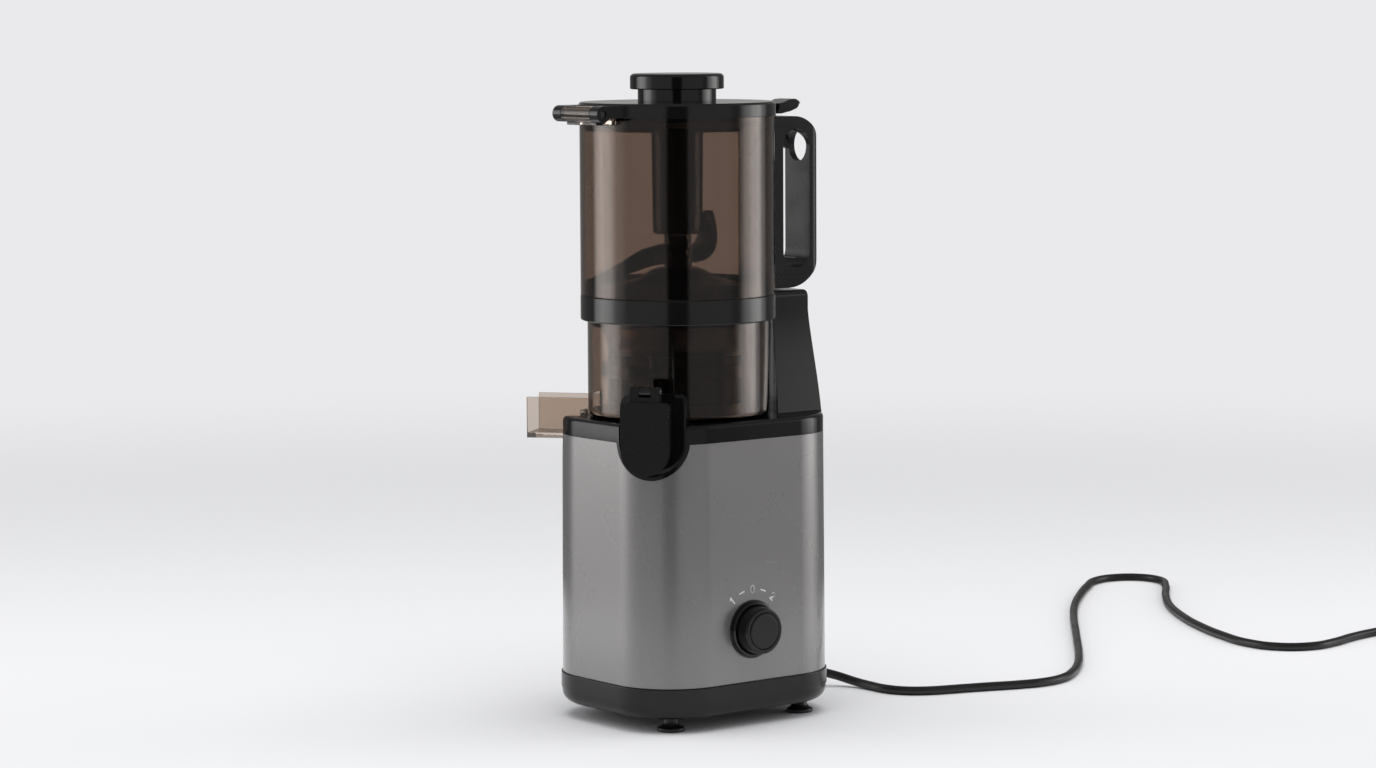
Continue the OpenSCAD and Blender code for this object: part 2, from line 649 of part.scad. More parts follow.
// The control board on its standoffs, below the fan
board_w = 62;
board_d = 46;
board_t = 1.6;
board_y = -14;
standoff_r = 2.5;
standoff_h = 3;
standoff_inset = 4;
z_board = z_cover + floor_t + standoff_h;
part_h = 6;
module control_board() color([0.1, 0.35, 0.2]) about_drive() translate([0, board_y, 0]) {
    box(-board_w / 2, board_w / 2, -board_d / 2, board_d / 2, z_board, z_board + board_t);
    for (sx = [-1, 1], sy = [-1, 1]) post_at(sx * (board_w / 2 - standoff_inset),
        sy * (board_d / 2 - standoff_inset), standoff_r, z_cover + floor_t, z_board + board_t / 2);
    for (s = [-1, 0, 1]) post_at(s * board_w / 4, board_d / 4, part_h, z_board + board_t / 2,
        z_board + part_h);
    box(-board_w / 3, board_w / 3, -board_d / 3, -board_d / 8, z_board + board_t / 2, z_board + part_h);
}

// The reed switch in the post's head, which the handle's magnet closes
reed_w = 14;
reed_d = 6;
reed_h = 8;
magnet_r = 4;
magnet_h = 5;
module reed_switch() color([0.8, 0.8, 0.78]) about_drive()
    box(-reed_w / 2, reed_w / 2, wire_hole_y - reed_d / 2, wire_hole_y + reed_d / 2,
        z_post - post_wall - gap - reed_h, z_post - post_wall - gap);
module interlock_magnet() color([0.55, 0.55, 0.58]) about_drive()
    post_at(0, wire_hole_y, magnet_r, z_handle + gap, z_handle + gap + magnet_h);

// The ribbed sleeve where the lead leaves the base
relief_flange_r = 6.2;
relief_flange_t = 2;
relief_tip_r = 4;
relief_rings = 4;
relief_ring_d = 0.7;
relief_in = cover_edge_r + floor_t + lead_d;
function relief_side(i, n) = relief_r + (relief_tip_r - relief_r) * i / n;
module strain_relief() color([0.03, 0.03, 0.03]) about_drive() translate([exit_x, relief_y, z_exit])
    rotate([-90, 0, 0]) rotate_extrude() polygon(concat(
        [[0, -relief_in], [relief_r, -relief_in], [relief_r, 0], [relief_flange_r, 0],
            [relief_flange_r, relief_flange_t], [relief_r, relief_flange_t]],
        [for (i = [0:relief_rings - 1]) let (step = (relief_l - relief_flange_t) / (relief_rings + 1))
            each [[relief_side(i, relief_rings), relief_flange_t + step * (i + 1 / 2)],
                [relief_side(i, relief_rings) - relief_ring_d, relief_flange_t + step * (i + 2 / 3)],
                [relief_side(i, relief_rings) - relief_ring_d, relief_flange_t + step * (i + 5 / 6)],
                [relief_side(i + 1, relief_rings), relief_flange_t + step * (i + 1)]]],
        [[relief_tip_r, relief_l], [0, relief_l]]));

// The lead's route over the table, in the part's own frame
lead_z = lead_d / 2;
lead_start = [exit_x - mid_x, relief_y + relief_l - mid_y, z_exit];
lead_route = [[-16, 129, 12], [-8, 141, 8], [5, 148, 4.5], [21, 150, lead_z], [38, 150, lead_z],
    [53, 156, lead_z], [64, 170, lead_z], [71, 190, lead_z], [79, 214, lead_z], [88, 239, lead_z],
    [92, 261, lead_z], [88, 283, lead_z], [75, 305, lead_z], [52, 333, lead_z], [18, 367, lead_z],
    [-20, 402, lead_z], [-66, 444, lead_z], [-114, 488, lead_z], [-160, 533, lead_z],
    [-201, 579, lead_z], [-230, 615, lead_z], [-249, 643, lead_z], [-252, 668, lead_z],
    [-238, 688, lead_z], [-214, 689, lead_z], [-190, 671, lead_z], [-154, 635, lead_z],
    [-108, 594, lead_z], [-62, 562, lead_z], [-16, 536, lead_z], [30, 516, lead_z],
    [66, 506, lead_z], [94, 511, lead_z], [109, 532, lead_z], [108, 559, lead_z],
    [100, 589, lead_z], [95, 621, lead_z], [94, 653, lead_z]];
coil_turns = 2.25;
coil_middle = [134, 687];
coil_r = 36;
coil_pitch = lead_d + free * 2;
coil_steps = 24;
coil_grow = coil_pitch * coil_turns / 2;
coil_out_r = coil_r + coil_grow / 2;
coil_start = [coil_middle[0] - coil_out_r, coil_middle[1] - lead_d, lead_z];
z_coil_top = lead_z + coil_pitch;
// Radius and height along the coil: in and out again, climbing where it turns back
function coil_radius(t) = coil_out_r - coil_grow * (1 - abs(1 - 2 * t / coil_turns));
function coil_height(t) = let (c = min(1, max(0, (t - coil_turns / 2) * 2 + 1 / 2)))
    lead_z + coil_pitch * (3 * c * c - 2 * c * c * c);
function coil_point(t) = [coil_middle[0] - coil_radius(t) * cos(360 * t),
    coil_middle[1] + coil_radius(t) * sin(360 * t), coil_height(t)];
coil_loops = [for (i = [0:coil_steps * coil_turns]) coil_point(i / coil_steps)];
coil_end = coil_point(coil_turns);
coil_tail = 34;
coil_out = coil_tail * [sin(360 * coil_turns), cos(360 * coil_turns), 0];
coil_path = concat([coil_start], coil_loops, [coil_end + coil_out / 2, coil_end + coil_out]);
lead_path_points = concat([lead_start, lead_start + [0, lead_d, 0]], lead_route,
    [coil_start - [0, lead_d, 0], coil_start]);
function unit(v) = v / norm(v);
function along(points, i) = unit(points[min(i + 1, len(points) - 1)] - points[max(i - 1, 0)]);
function curve_point(points, i, t) = let (a = points[i], b = points[i + 1], l = norm(b - a))
    a * (2 * t * t * t - 3 * t * t + 1) + b * (3 * t * t - 2 * t * t * t)
    + along(points, i) * l * (t * t * t - 2 * t * t + t)
        + along(points, i + 1) * l * (t * t * t - t * t);
ring_spacing = lead_d * 2.6;
function smooth_path(points) = concat([for (i = [0:len(points) - 2])
    let (n = max(1, round(norm(points[i + 1] - points[i]) / ring_spacing)))
    for (k = [0:n - 1]) curve_point(points, i, k / n)], [points[len(points) - 1]]);
function ring_round(p, dir, r, sides) = let (side = unit(cross(dir, [0, 0, 1])), up = cross(side, dir))
    [for (k = [0:sides - 1]) let (a = 360 * (k + 1 / 2) / sides) p + r * (cos(a) * side + sin(a) * up)];
module swept(path, r, sides) {
    rings = len(path);
    polyhedron(points = [for (i = [0:rings - 1]) each ring_round(path[i], along(path, i), r, sides)],
        faces = concat(
            [for (i = [0:rings - 2], k = [0:sides - 1])
                [i * sides + k, (i + 1) * sides + k, (i + 1) * sides + (k + 1) % sides]],
            [for (i = [0:rings - 2], k = [0:sides - 1])
                [i * sides + k, (i + 1) * sides + (k + 1) % sides, i * sides + (k + 1) % sides]],
            [for (k = [1:sides - 2]) [0, k, k + 1]],
            [for (k = [1:sides - 2]) let (e = (rings - 1) * sides) [e, e + k + 1, e + k]]));
}
lead_path = smooth_path(lead_path_points);
function path_length(p, i = 0, total = 0) =
    i >= len(p) - 1 ? total : path_length(p, i + 1, total + norm(p[i + 1] - p[i]));
coil_self_gap = min([for (i = [0:len(coil_path) - 1], k = [0:len(coil_path) - 1])
    if (k - i > coil_steps / 2) norm(coil_path[k] - coil_path[i])]) - lead_d;
echo(lead_length = path_length(lead_path), coil_length = path_length(coil_path), rings = len(lead_path));
echo(coil_self_gap = coil_self_gap, mid_x = mid_x, mid_y = mid_y);
module mains_lead() color([0.03, 0.03, 0.03]) swept(lead_path, lead_d / 2, 8);
module lead_coil() color([0.03, 0.03, 0.03]) swept(coil_path, lead_d / 2, 6);

// A plain two-pin plug on the coil's end, as thick as twice the height of the lead there
plug_w = 35;
plug_l = 40;
plug_front_l = 12;
plug_corner_r = 6;
plug_back_r = 5;
pin_r = 2;
pin_l = 19;
pin_span = 19;
module at_plug() translate(coil_end + coil_out) rotate([90, 0, 90]) children();
module plug_body() color([0.04, 0.04, 0.04]) at_plug() difference() {
    hull() {
        translate([0, 0, plug_l - plug_front_l]) linear_extrude(plug_front_l)
            plan(plug_w, 2 * z_coil_top, plug_corner_r);
        cylinder(r = plug_back_r, h = plug_front_l, $fn = hull_fn);
    }
    for (s = [-1, 1]) translate([s * pin_span / 2, 0, plug_l - plug_front_l])
        cylinder(r = pin_r + run, h = plug_front_l + cut);
}
module plug_pins() color([0.75, 0.7, 0.55]) at_plug() for (s = [-1, 1])
    translate([s * pin_span / 2, 0, plug_l - plug_front_l])
        cylinder(r = pin_r, h = plug_front_l + pin_l);

// The clear bowl: a cup with a hub for the shaft and two ports
bowl_floor_t = 3;
bowl_foot_r = 5;
bowl_rim_h = 6;
port_w = 22;
port_h = 12;
pulp_port_w = 28;
z_floor = z_deck + bowl_floor_t;
bowl_in_r = bowl_r - bowl_wall;
module juice_bowl() color(smoke) about_drive() difference() {
    rotate_extrude() polygon(concat([[hub_bore_r, z_deck]],
        [for (a = [0:18:90]) [bowl_r - bowl_foot_r + bowl_foot_r * sin(a),
            z_deck + bowl_foot_r - bowl_foot_r * cos(a)]],
        [[bowl_r, z_ring + bowl_rim_h], [bowl_in_r, z_ring + bowl_rim_h], [bowl_in_r, z_floor],
            [hub_r, z_floor], [hub_r, z_floor + hub_h - bowl_floor_t],
                [hub_bore_r, z_floor + hub_h - bowl_floor_t]]));
    toward(spout_angle) box(-port_w / 2, port_w / 2, -bowl_r - cut, -bowl_in_r + cut, z_floor,
        z_floor + port_h);
    toward(trough_angle) box(-pulp_port_w / 2, pulp_port_w / 2, -bowl_r - cut, -bowl_in_r + cut,
        z_floor, z_floor + port_h);
}
module bowl_seal() color([0.3, 0.3, 0.32]) about_drive()
    tube(hub_bore_r - run, drive_r + free, z_deck + free, z_floor + hub_h - bowl_floor_t);

// The juice spout: a plate in the recess, a hollow nozzle and the flap's hinge
plate_rise = 22;
plate_corner_r = 10;
plate_out = 10;
plate_front = bowl_r + plate_out;
plate_back_t = 2;
nozzle_half_w = 14.5;
nozzle_wall = 2.2;
nozzle_out = 16;
nozzle_drop = 7;
nozzle_h = 43;
nozzle_front = plate_front + nozzle_out;
z_plate = z_deck + plate_rise;
z_nozzle = z_plate - nozzle_drop;
z_nozzle_low = z_nozzle - nozzle_h;
flap_seal_t = 1.3;
flap_rise = 3;
flap_pin_up = 7.5;
flap_back = nozzle_front + flap_seal_t;
z_flap_top = z_nozzle + flap_rise;
z_flap_low = z_flap_top - flap_h;
flap_corner_r = 4.2;
flap_pin_r = 1.5;
knuckle_r = 3.4;
knuckle_half = 4;
knuckle_gap = 0.4;
hinge_block_half = 10.75;
flap_axis = flap_back + knuckle_r / 2;
z_flap_pin = z_flap_top + flap_pin_up;
// Upright outline with a round foot and rounded upper corners
module tongue(half_w, low, top, corner_r) {
    translate([0, low + half_w]) circle(r = half_w);
    translate([-half_w, low + half_w]) square([2 * half_w, top - low - half_w - corner_r]);
    translate([corner_r - half_w, low + half_w]) square([2 * (half_w - corner_r), top - low - half_w]);
    for (s = [-1, 1]) translate([s * (half_w - corner_r), top - corner_r]) circle(r = corner_r);
}
module knuckle(x0, x1, r) translate([x0, -flap_axis, z_flap_pin]) rotate([0, 90, 0])
    cylinder(r = r, h = x1 - x0);
module spout_housing() color(black) about_drive() toward(spout_angle) difference() {
    union() {
        facing(bowl_r - bowl_wall, plate_front)
            tongue(plate_half_w, z_scoop - plate_half_w, z_plate, plate_corner_r);
        facing(plate_front - cut, nozzle_front)
            tongue(nozzle_half_w, z_nozzle_low, z_nozzle, flap_corner_r);
        knuckle(-knuckle_half, knuckle_half, knuckle_r);
        across(2 * knuckle_half) polygon([[-plate_front, z_nozzle - cut],
            [-nozzle_front, z_nozzle - cut],
            [-nozzle_front, z_flap_pin - knuckle_r / 2], [-flap_axis, z_flap_pin - knuckle_r / 2],
            [-flap_axis, z_flap_pin + knuckle_r], [-plate_front, z_nozzle + knuckle_r]]);
    }
    post_at(0, 0, bowl_r + gap, z_deck - gap, z_plate + cut);
    box(-housing_w, housing_w, -scoop_back - free, 0, z_scoop - 2 * plate_half_w, z_deck);
    facing(scoop_back + plate_back_t, nozzle_front + cut)
        tongue(nozzle_half_w - nozzle_wall, z_nozzle_low + nozzle_wall, z_nozzle - nozzle_wall,
            nozzle_wall);
    box(-port_w / 2, port_w / 2, -plate_front, 0, z_floor, z_floor + port_h - gap);
    knuckle(-knuckle_half - cut, knuckle_half + cut, flap_pin_r + run);
}
module flap_pin() color(steel) about_drive() toward(spout_angle)
    knuckle(-hinge_block_half, hinge_block_half, flap_pin_r);
module spout_flap() color(black) about_drive() toward(spout_angle) difference() {
    union() {
        facing(flap_back, flap_back + flap_t) tongue(flap_w / 2, z_flap_low, z_flap_top, flap_corner_r);
        facing(flap_back, flap_back + flap_t - knuckle_r / 2)
            translate([-hinge_block_half, z_flap_top - cut])
                square([2 * hinge_block_half, z_flap_pin - z_flap_top + cut]);
        knuckle(-hinge_block_half, hinge_block_half, knuckle_r);
    }
    box(-knuckle_half - knuckle_gap, knuckle_half + knuckle_gap, -flap_back - flap_t - cut, 0,
        z_flap_pin - knuckle_r - knuckle_gap, z_flap_pin + knuckle_r + cut);
    knuckle(-hinge_block_half - cut, hinge_block_half + cut, flap_pin_r + run);
}
module flap_seal() color([0.3, 0.3, 0.32]) about_drive() toward(spout_angle)
    facing(nozzle_front + free, flap_back) tongue(nozzle_half_w, z_nozzle_low, z_nozzle, flap_corner_r);

// The pulp trough: open above and at its end, closed below the bowl
trough_up = 9;
z_trough_top = z_floor + trough_up;
z_trough = z_trough_top - trough_h;
trough_floor_t = 3.5;
module pulp_trough() color([0.62, 0.56, 0.5, 0.5]) about_drive() toward(trough_angle) difference() {
    box(-trough_w / 2, trough_w / 2, -trough_reach, -bowl_in_r, z_trough, z_trough_top);
    box(trough_wall - trough_w / 2, trough_w / 2 - trough_wall, -trough_reach - cut,
        -scoop_back - free - trough_wall,
        z_trough + trough_floor_t, z_trough_top + cut);
    box(trough_wall - trough_w / 2, trough_w / 2 - trough_wall, -trough_reach, 0, z_floor,
        z_trough_top + cut);
    post_at(0, 0, bowl_r + gap, z_deck - gap, z_trough_top + cut);
    box(-housing_w, housing_w, -scoop_back - free, 0, z_trough - cut, z_deck);
}

// The strainer: a ribbed basket round a fine screen, with a clear rim above
screen_t = 1.6;
basket_base_h = 8;
basket_floor_t = 2;
basket_h = 46;
basket_ring_h = 4;
basket_band_h = 9;
basket_band_up = 26;
basket_band_t = 6.8;
rib_w = 3;
rib_t = 2.8;
z_basket_top = z_floor + basket_h;
frame_r = strainer_bore_r + screen_t + gap;
module strainer_basket() color([0.06, 0.06, 0.07]) about_drive() difference() {
    union() {
        tube(frame_r + rib_t, strainer_bore_r, z_floor, z_floor + basket_base_h);
        tube(strainer_bore_r + cut, hub_r + free, z_floor, z_floor + basket_floor_t);
        tube(frame_r + basket_band_t, frame_r, z_floor + basket_band_up,
            z_floor + basket_band_up + basket_band_h);
        tube(frame_r + rib_t, frame_r, z_basket_top - basket_ring_h, z_basket_top);
        for (i = [0:strainer_ribs - 1]) rotate([0, 0, 360 * i / strainer_ribs]) difference() {
            box(frame_r - screen_t / 2, frame_r + rib_t, -rib_w / 2, rib_w / 2,
                z_floor + basket_base_h - cut, z_basket_top);
            post_at(0, 0, frame_r, z_floor, z_basket_top + cut);
        }
    }
    toward(trough_angle) box(-pulp_port_w / 2 + rib_w, pulp_port_w / 2 - rib_w, -bowl_r,
        -strainer_bore_r + 2 * rib_w,
        z_floor + basket_floor_t, z_floor + basket_base_h + cut);
}
module strainer_screen() color([0.55, 0.56, 0.58]) about_drive()
    tube(strainer_bore_r + screen_t, strainer_bore_r, z_floor + basket_base_h, z_basket_top);
rim_h = 18;
rim_t = 2;
rim_flare = 7;
module strainer_rim() color([0.5, 0.36, 0.26, 0.6]) about_drive() rotate_extrude() polygon([
    [strainer_bore_r + gap, z_basket_top], [strainer_bore_r + gap + screen_t + rim_t, z_basket_top],
    [strainer_bore_r + rim_flare + rim_t, z_basket_top + rim_h - rim_t],
        [bowl_in_r - gap, z_basket_top + rim_h - rim_t],
    [bowl_in_r - gap, z_basket_top + rim_h], [strainer_bore_r + rim_flare, z_basket_top + rim_h],
    [strainer_bore_r + gap, z_basket_top + rim_t]]);

// The auger: twisted flights under a dome, and the arm that pulls food in above it
auger_seat = 1.2;
auger_bore_h = 3;
flight_h = 68;
flight_starts = 2;
flight_sharp_share = 9;
auger_rim_r = 45.6;
auger_bore_r = hub_r + auger_seat / 2;
z_auger = z_floor + basket_floor_t + auger_seat;
z_flight_top = z_auger + flight_h;
z_auger_bore = z_floor + hub_h - bowl_floor_t + auger_seat;
spigot_r = 5;
hub_top_r = 9.65;
dome_h = 31.5;
z_dome = z_flight_top + dome_h;
dome_shares = [[1, 0.62], [0.79, 0.71], [0.61, 0.78], [0.44, 0.93], [0.31, 1]];
spigot_h = 19;
intake_half = 13;
intake_angle = -128;
function flight_radius(a) = core_r + (flight_r - core_r) * pow(abs(cos(a * flight_starts / 2)),
    flight_sharp_share);
module auger() color([0.1, 0.09, 0.09]) about_drive() difference() {
    union() {
        translate([0, 0, z_auger]) linear_extrude(flight_h, twist = -360 * flight_turns, slices = 40)
            polygon([for (a = [0:10:350]) flight_radius(a) * [cos(a), sin(a)]]);
        rotate_extrude() polygon(concat([[0, z_flight_top], [auger_rim_r, z_flight_top]],
            [for (s = dome_shares) [auger_rim_r * s[0], z_flight_top + dome_h * s[1]]],
            [[spigot_r, z_dome], [spigot_r, z_dome + spigot_h], [0, z_dome + spigot_h]]));
    }
    post_at(0, 0, auger_bore_r, z_auger - cut, z_auger_bore);
    hexagon(hex_flats + 2 * gap, z_auger_bore - cut, z_drive_top + gap);
    toward(intake_angle) box(-intake_half, intake_half, -flight_r - cut, -core_r + cut,
        z_flight_top - cut, z_dome + cut);
}
arm_reach = 62.5;
arm_h = 28;
arm_root_w = 12;
arm_tip_w = 7;
arm_bow = 5;
arm_angle = -38;
vane_reach = 41;
vane_h = 38;
vane_t = 7;
vane_bow = 3;
vane_angle = 90;
arm_shares = [[0.08, 1], [0.2, 0.98], [0.4, 0.86], [0.53, 0.7], [0.64, 0.53], [0.82, 0.32], [0.97, 0.14],
    [1, 0.07], [0.96, 0.01], [0.82, 0.08], [0.64, 0.18], [0.48, 0.3], [0.3, 0.44], [0.08, 0.5]];
vane_shares = [[0.1, 0], [0.34, 0], [0.55, 0.05], [0.73, 0.13], [0.9, 0.26], [0.99, 0.42], [1, 0.56],
    [0.95, 0.76], [0.86, 0.95], [0.8, 1], [0.74, 0.97], [0.66, 0.8], [0.57, 0.55], [0.47, 0.38],
        [0.3, 0.27], [0.1, 0.24]];
arm_drop = 10.7;
vane_up = 4;
hub_top_h = 23.3;
z_arm = z_dome - arm_drop;
z_vane = z_dome + vane_up;
z_hub_top = z_dome + hub_top_h;
// Bowed strip, seen from above, from the axis outward
module strip(reach, root_w, tip_w, bow) polygon([for (s = [-1, 1], i = [0:8])
    let (t = s < 0 ? i / 8 : 1 - i / 8) [bow * sin(180 * t) + s * (root_w + (tip_w - root_w) * t) / 2,
        -reach * t]]);
module swung_blade(shares, reach, h, z, root_w, tip_w, bow) intersection() {
    across(2 * root_w + 4 * bow) polygon([for (p = shares) [-reach * p[0], z + h * p[1]]]);
    translate([0, 0, z]) linear_extrude(h) strip(reach, root_w, tip_w, bow);
}
module auger_arm() color([0.1, 0.09, 0.09]) about_drive() difference() {
    union() {
        post_at(0, 0, hub_top_r, z_dome, z_hub_top);
        toward(arm_angle) swung_blade(arm_shares, arm_reach, arm_h, z_arm, arm_root_w, arm_tip_w,
            arm_bow);
        toward(vane_angle) swung_blade(vane_shares, vane_reach, vane_h, z_vane, vane_t, vane_t,
            vane_bow);
    }
    post_at(0, 0, spigot_r + run, z_dome - arm_h, z_dome + spigot_h + gap);
}

// The sloping floor on the bowl's rim, the lock ring round it, and the hopper on the ring
ring_r = hopper_r + gap;
hopper_in_r = hopper_r - hopper_wall;
ring_bore_gap = 0.5;
ring_bore_r = bowl_r + ring_bore_gap;
ring_skirt_t = 2.3;
ring_chamfer = 0.7;
skirt_r = hopper_in_r - gap;
feed_r = skirt_r - ring_skirt_t - free;
feed_mouth_r = 47.6;
feed_t = 3;
feed_drop_h = 2;
feed_rise = 10;
z_bowl_rim = z_ring + bowl_rim_h;
module lock_ring() color(black) about_drive() rotate_extrude() polygon([
    [ring_bore_r, z_ring], [ring_r - ring_chamfer, z_ring], [ring_r, z_ring + ring_chamfer],
    [ring_r, z_hopper - ring_chamfer], [ring_r - ring_chamfer, z_hopper], [skirt_r, z_hopper],
    [skirt_r, z_hopper + ring_skirt_h], [skirt_r - ring_skirt_t, z_hopper + ring_skirt_h],
    [skirt_r - ring_skirt_t, z_hopper], [ring_bore_r, z_hopper]]);
module feed_floor() color(black) about_drive() rotate_extrude() polygon([
    [bowl_in_r - gap, z_bowl_rim - feed_drop_h], [bowl_in_r - gap, z_bowl_rim], [feed_r, z_bowl_rim],
    [feed_r, z_bowl_rim + feed_rise], [feed_r - feed_t / 2, z_bowl_rim + feed_rise],
    [feed_mouth_r, z_bowl_rim + 2 * feed_t], [feed_mouth_r, z_bowl_rim + feed_t],
    [bowl_in_r - gap - feed_t, z_bowl_rim], [bowl_in_r - gap - feed_t, z_bowl_rim - feed_drop_h]]);

// The lid's hinge: its axis, and the knuckles of hopper and lid
hinge_half = 26.2;
hinge_knuckle_half = 16.7;
hinge_pin_r = 2.5;
hinge_up = 3;
z_hinge = z_lid + hinge_up;
hinge_plate_t = 4.5;
module barrel(x0, x1, r) translate([x0, -hinge_reach, z_hinge]) rotate([0, 90, 0])
    cylinder(r = r, h = x1 - x0);
module hopper_shell() color(smoke) about_drive() difference() {
    union() {
        post_at(0, 0, hopper_r, z_hopper, z_lid);
        barrel(-hinge_knuckle_half, hinge_knuckle_half, hinge_r);
        box(-hinge_knuckle_half, hinge_knuckle_half, -hinge_reach, 0, z_lid - free - hinge_plate_t,
            z_lid - free);
    }
    post_at(0, 0, hopper_in_r, z_hopper - cut, z_lid + cut);
    barrel(-hinge_half, hinge_half, hinge_pin_r + run);
}
module hinge_pin() color(steel) about_drive() barrel(cut - hinge_half, hinge_half - cut, hinge_pin_r);

// The handle: a rounded loop on the hopper's back, with a magnet pocket below. The left half of
// its grip is a cover of its own, and an oval eye passes through the grip's top.
grip_corner_r = 8;
hole_drop = 14.6;
hole_head = 9.3;
handle_drop = 2.4;
z_handle_top = z_lid - handle_drop;
grip_in = handle_reach - grip_t;
root_out = hopper_r + root_t;
hole_r = (grip_in - root_out) / 2;
hole_mid = (grip_in + root_out) / 2;
z_hole = z_handle + hole_drop;
z_hole_top = z_handle_top - hole_head;
eye_half_w = 10;
eye_top_gap = 0.5;
eye_wall = 5.5;
eye_side = 6;
eye_steps = 48;
z_eye = z_hole_top - hole_r;
boss_r = 5.2;
boss_t = 3;
boss_in = 1;
boss_up = 2.4;
half_in = 2;
half_past = 3;
grip_screw_r = 1.5;
grip_screw_head_r = 3;
grip_screw_head_t = 1.5;
grip_screw_l = 18;
grip_screw_deep = 3;
grip_screw_y = (grip_in + handle_reach) / 2;
grip_screw_end = grip_screw_deep - handle_w / 2 - grip_screw_head_t + grip_screw_l;
z_grip_low = z_hole + 3 * grip_screw_head_r;
z_grip_high = z_eye - hole_r - 2 * grip_screw_head_r;
lever_pin_r = 1.25;
lever_pin_y = 82;
lever_pin_up = 3.8;
z_lever_pin = z_handle_top + lever_pin_up;
lever_hub_r = 2.6;
ear_in = 5.2;
ear_out = 8;
// What one outer corner of the loop loses to its rounding, above or below its arc's middle
module corner_loss(z, r, up) translate([handle_reach - r, z]) difference() {
    translate([0, up ? 0 : -r - cut]) square(r + cut);
    circle(r = r);
}
module loop_outline() difference() {
    translate([0, z_handle]) square([handle_reach, z_handle_top - z_handle]);
    corner_loss(z_handle_top - handle_corner_r, handle_corner_r, true);
    corner_loss(z_handle + handle_foot_r, handle_foot_r, false);
    translate([hole_mid - hole_r, z_hole + hole_r])
        square([2 * hole_r, z_hole_top - z_hole - 2 * hole_r]);
    for (z = [z_hole + hole_r, z_hole_top - hole_r]) translate([hole_mid, z]) circle(r = hole_r);
}
module eye(x, near) translate([x, handle_reach + cut, z_eye]) rotate([90, 0, 0])
    linear_extrude(handle_reach + cut - near)
        polygon([for (i = [0:eye_steps - 1]) let (a = 360 * i / eye_steps)
            [eye_half_w * cos(a), (hole_r - eye_top_gap) * sin(a)]]);
// The loop with its eye, which opens to the left behind the grip's inner wall
module loop_form() difference() {
    intersection() {
        across(handle_w) loop_outline();
        translate([0, handle_reach / 2, z_handle]) linear_extrude(z_handle_top - z_handle)
            plan(handle_w, handle_reach, grip_corner_r);
    }
    eye(0, hole_mid);
    eye(-eye_side, grip_in + eye_wall);
}
module cover_room() box(-handle_w, 0, grip_in - half_in, handle_reach + cut, z_hole - half_past,
    z_hole_top + half_past);
module at_grip_screws(x) for (z = [z_grip_low, z_grip_high]) translate([x, grip_screw_y, z])
    rotate([0, 90, 0]) children();
module lever_axis(x0, x1, r) translate([x0, lever_pin_y, z_lever_pin]) rotate([0, 90, 0])
    cylinder(r = r, h = x1 - x0);
module hopper_handle() color(black) about_drive() difference() {
    union() {
        loop_form();
        for (s = [-1, 1]) {
            lever_axis(s * (ear_in + ear_out) / 2 - (ear_out - ear_in) / 2,
                s * (ear_in + ear_out) / 2 + (ear_out - ear_in) / 2, lever_hub_r);
            box(s * (ear_in + ear_out) / 2 - (ear_out - ear_in) / 2,
                s * (ear_in + ear_out) / 2 + (ear_out - ear_in) / 2,
                lever_pin_y - lever_hub_r, lever_pin_y + lever_hub_r, z_handle_top - cut, z_lever_pin);
        }
    }
    post_at(0, 0, hopper_r + gap, z_handle - cut, z_handle_top + 2 * ear_out);
    post_at(0, wire_hole_y, magnet_r + run, z_handle - cut, z_handle + gap + magnet_h + run);
    lever_axis(-ear_out - cut, ear_out + cut, lever_pin_r + run);
    cover_room();
    at_grip_screws(-cut) cylinder(r = grip_screw_r + run, h = grip_screw_end + 2 * cut);
}
module grip_cover() color([0.07, 0.07, 0.075]) about_drive() difference() {
    union() {
        intersection() {
            loop_form();
            cover_room();
        }
        translate([boss_in - handle_w / 2, grip_in, z_eye + boss_up]) rotate([0, 90, 0])
            cylinder(r = boss_r, h = boss_t);
    }
    at_grip_screws(-handle_w) cylinder(r = grip_screw_r + run, h = handle_w + cut);
    at_grip_screws(grip_screw_deep - 3 * handle_w / 2)
        cylinder(r = grip_screw_head_r + free, h = handle_w);
}
module handle_screws() color([0.2, 0.2, 0.21]) about_drive() at_grip_screws(grip_screw_deep - handle_w / 2) {
    translate([0, 0, -grip_screw_head_t]) cylinder(r = grip_screw_head_r, h = grip_screw_head_t);
    translate([0, 0, -grip_screw_head_t]) cylinder(r = grip_screw_r, h = grip_screw_l);
}

// The thumb lever that holds the lid shut at the back
lever_nose_gap = 0.6;
lever_half = 4.9;
paddle_half = 9;
under_half = 7.4;
paddle_reach = 25;
paddle_rise = 9;
nose_h = 4;
// Shares of the lever's reach and rise: its underside out to the tip, its top back to the pin, and
// the edge between its upper and its narrower lower layer
lever_under = [[0, -0.23], [0.36, -0.21], [0.7, -0.03], [0.92, 0.18], [1, 0.4], [1, 0.58]];
lever_upper = [[0.94, 0.8], [0.82, 0.96], [0.6, 0.92], [0.36, 0.69], [0, 0.56]];
lever_edge = [[0, 0.1], [0.4, 0.22], [0.75, 0.36], [1, 0.58]];
module lever_plate(half, shares) across(2 * half) translate([lever_pin_y, z_lever_pin])
    polygon([for (p = shares) [paddle_reach * p[0], paddle_rise * p[1]]]);
module latch_lever() color(black) about_drive() difference() {
    union() {
        lever_axis(-lever_half, lever_half, lever_hub_r);
        lever_plate(lever_half, concat(lever_under, lever_upper));
        intersection() {
            union() {
                lever_plate(under_half, concat(lever_under, lever_upper));
                lever_plate(paddle_half, concat(lever_edge, lever_upper));
            }
            box(-paddle_half, paddle_half, lever_pin_y + 2 * lever_hub_r, handle_reach, z_handle_top,
                z_cap);
        }
        box(-lever_half, lever_half, hopper_r + lever_nose_gap + cut, lever_pin_y, z_lever_pin,
            z_lever_pin + nose_h);
    }
    lever_axis(-lever_half - cut, lever_half + cut, lever_pin_r + run);
}
